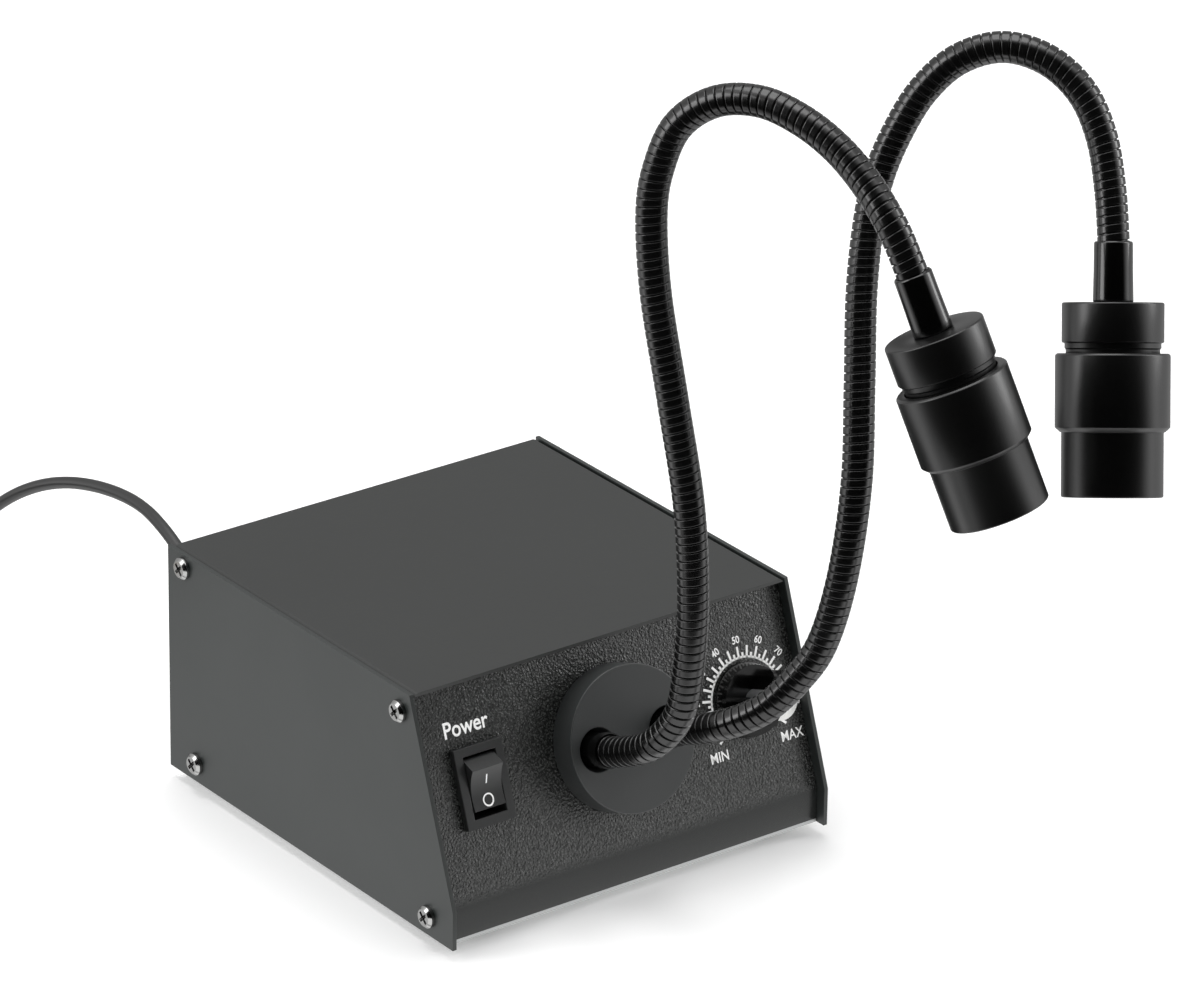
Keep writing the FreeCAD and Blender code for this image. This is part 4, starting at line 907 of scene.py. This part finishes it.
def makeHeads():
    edge, lensEdge = headShape["edge"], headShape["lensEdge"]
    for side in ("left", "right"):
        neck = headPiece(f"{side}Neck", headShape["neck"], side, closeRing, edge)
        dress(neck, materials["neckGloss"], f"{side}_head", "neck_metal", f"neck_ferrule_{side}")
        cap = headPiece(f"{side}Cap", headShape["cap"], side, closeRing, edge)
        dress(cap, materials["headAnodised"], f"{side}_head", "head_metal", f"head_cap_{side}")
        sleeve = headPiece(f"{side}Sleeve", headShape["sleeve"], side, closeRing, edge)
        dress(sleeve, materials["headAnodised"], f"{side}_focus", "head_metal", f"focus_sleeve_{side}")
        ring = headPiece(f"{side}LensRing", headShape["ring"], side, closeRing, lensEdge)
        dress(ring, materials["neckGloss"], f"{side}_focus", "neck_metal", f"lens_ring_{side}")
        lens = headPiece(f"{side}Lens", headShape["lens"], side, closeEnds, lensEdge)
        dress(lens, materials["lensGlass"], f"{side}_focus", "optic", f"head_lens_{side}")


makeHeads()
print("heads done")


# Dimmer knob and rocker switch, with the I and O laid into the hollow of the rocker's face

controls = {
    "dimmer_knob": ("knob", "knobGloss", "knob_plastic", 0.5, 3),
    "dial_spot": ("housing", "spotWhite", "spot_white", 0.05, 2),
    "switch_housing": ("housing", "switchBlack", "switch_plastic", 0.35, 3),
    "switch_rocker": ("rocker", "switchBlack", "switch_plastic", 0.25, 3),
}
rockerFace = {
    "across": -42.5, "up": 29, "out": -2.5, "pressed": 13, "rise": 3.3, "dip": 1.35, "ridge": 5.5,
    "strokeUp": 0.8, "strokeHeight": 2.6, "strokeWidth": 0.4,
    "ringUp": -3.5, "ringRadius": 1.25, "ringWidth": 0.42, "lift": 0.03,
}


def makeRockerMarks():
    face = rockerFace
    foot = Matrix.Translation((0, face["strokeUp"] * mm, 0))
    middle = Matrix.Translation((0, face["ringUp"] * mm, 0))
    stroke = bar(face["strokeWidth"], face["strokeHeight"], foot)
    ring = ringStroke(face["ringRadius"], face["ringWidth"], middle)
    marks = joined("rockerMarks", [stroke, ring])
    hollow = (face["ridge"] ** 2 + face["dip"] ** 2) / (2 * face["dip"])
    lowest = face["rise"] - face["dip"] + face["lift"]
    for corner in marks.data.vertices:
        up = corner.co.y / mm
        corner.co.z = (lowest + hollow - math.sqrt(hollow ** 2 - up ** 2)) * mm
    tip = Matrix.Rotation(math.radians(face["pressed"]), 4, "X")
    settle(marks, onSlope(face["across"], face["up"], face["out"]) @ tip)
    dress(marks, materials["printWhite"], "rocker", "spot_white")


softenSolids(controls)
makeRockerMarks()
print("controls done")


# Supply lead, coiled behind the box with its adapter

lead = {
    "diameter": 3.4, "length": 1.79,
    "route": [(-31, 86.25, 40.5), (-31, 98, 40.5), (-28.6, 112, 44.2), (-26.2, 128, 45.6),
              (-27, 146, 44.1), (-30.5, 162, 40.6), (-34.8, 176, 33.4), (-39, 188, 22.6),
              (-44, 199, 11), (-51, 210, 3.2), (-60, 222, 1.7), (-70, 241.6, 1.7)],
    "coilX": -94, "coilY": 254, "coilRadius": 24, "coilPitch": 3.9, "coilEntry": 3.4,
    "loops": 3, "layers": 4, "perTurn": 12, "tail": 14, "tailBend": 0.35, "intoAdapter": 18,
    "curveSteps": 8, "roundness": 4, "adapterEdge": 1.6, "bootEdge": 0.5,
}


def coilPoints():
    # Layers of half loops that spiral in and out, climbing a layer where the spiral reverses. The
    # points stand a little outside the circle, so that the curve between them runs on it.
    pitch = lead["coilPitch"]
    half = lead["perTurn"] // 2
    outside = 1 / math.cos(math.pi / lead["perTurn"])
    radius = lead["coilRadius"]
    spot = Vector((lead["coilX"] + radius, lead["coilY"], lead["diameter"] / 2))
    facing = 1
    points = [spot - Vector((0, lead["coilEntry"], 0))]
    halves = lead["loops"] * 2
    for layer in range(lead["layers"]):
        change = -pitch / 2 if layer % 2 == 0 else pitch / 2
        for turn in range(halves + 1):
            if turn == halves and layer == lead["layers"] - 1:
                break
            climb = pitch if turn == halves else 0
            centre = spot - Vector((facing * radius, 0, 0))
            for step in range(half):
                angle = (step + 0.5) * math.pi / half
                rise = climb * (0.5 - 0.5 * math.cos(angle))
                arm = Vector((math.cos(angle), math.sin(angle), 0)) * radius * outside * facing
                points.append(centre + arm + Vector((0, 0, rise)))
            spot = centre - Vector((facing * radius, 0, -climb))
            facing = -facing
            radius += change if turn < halves else -change
    for reach in (lead["tail"] * lead["tailBend"], lead["tail"], lead["tail"] + lead["intoAdapter"]):
        points.append(spot + Vector((0, facing * reach, 0)))
    return points


def makeLead():
    points = [Vector(point) for point in lead["route"]] + coilPoints()
    data = bpy.data.curves.new("supplyLead", "CURVE")
    data.dimensions = "3D"
    data.resolution_u = lead["curveSteps"]
    data.bevel_depth = lead["diameter"] * mm / 2
    data.bevel_resolution = lead["roundness"]
    data.use_fill_caps = True
    spline = data.splines.new("NURBS")
    spline.points.add(len(points) - 1)
    for knot, point in zip(spline.points, points):
        knot.co = (*(point * mm), 1)
    spline.order_u = 3
    spline.use_endpoint_u = True
    piece = bpy.data.objects.new("supplyLead", data)
    bpy.context.scene.collection.objects.link(piece)
    data.materials.append(materials["cordBlack"])
    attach(piece, "housing")
    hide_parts("supply_cord", "cord_coil")
    adapter = refined("power_adapter", lead["adapterEdge"] * mm, 4)
    dress(adapter, materials["adapterBlack"], "housing", "adapter_plastic", "power_adapter")
    boot = refined("cord_boot", lead["bootEdge"] * mm, 3)
    dress(boot, materials["cordBlack"], "housing", "cord_rubber", "cord_boot")


makeLead()
print("lead done")


# CAD nodes that stay take these finishes

kept = {
    "foot_screws": "screwChrome", "hose_ferrules": "neckGloss", "engine_block": "plainAluminium",
    "collector_lenses": "lensGlass", "led_board": "ledBoard", "heat_sink": "plainAluminium",
    "engine_screws": "screwChrome", "board_standoffs": "brassPlain", "driver_board": "boardGreen",
    "driver_parts": "partDark", "pot_body": "partDark", "pot_nut": "screwChrome",
    "pot_shaft": "plainAluminium", "knob_set_screw": "screwChrome", "switch_terminals": "brassPlain",
    "adapter_pins": "brassPlain",
}
for node, finish in kept.items():
    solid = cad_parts[node]
    solid.data.materials.clear()
    solid.data.materials.append(materials[finish])
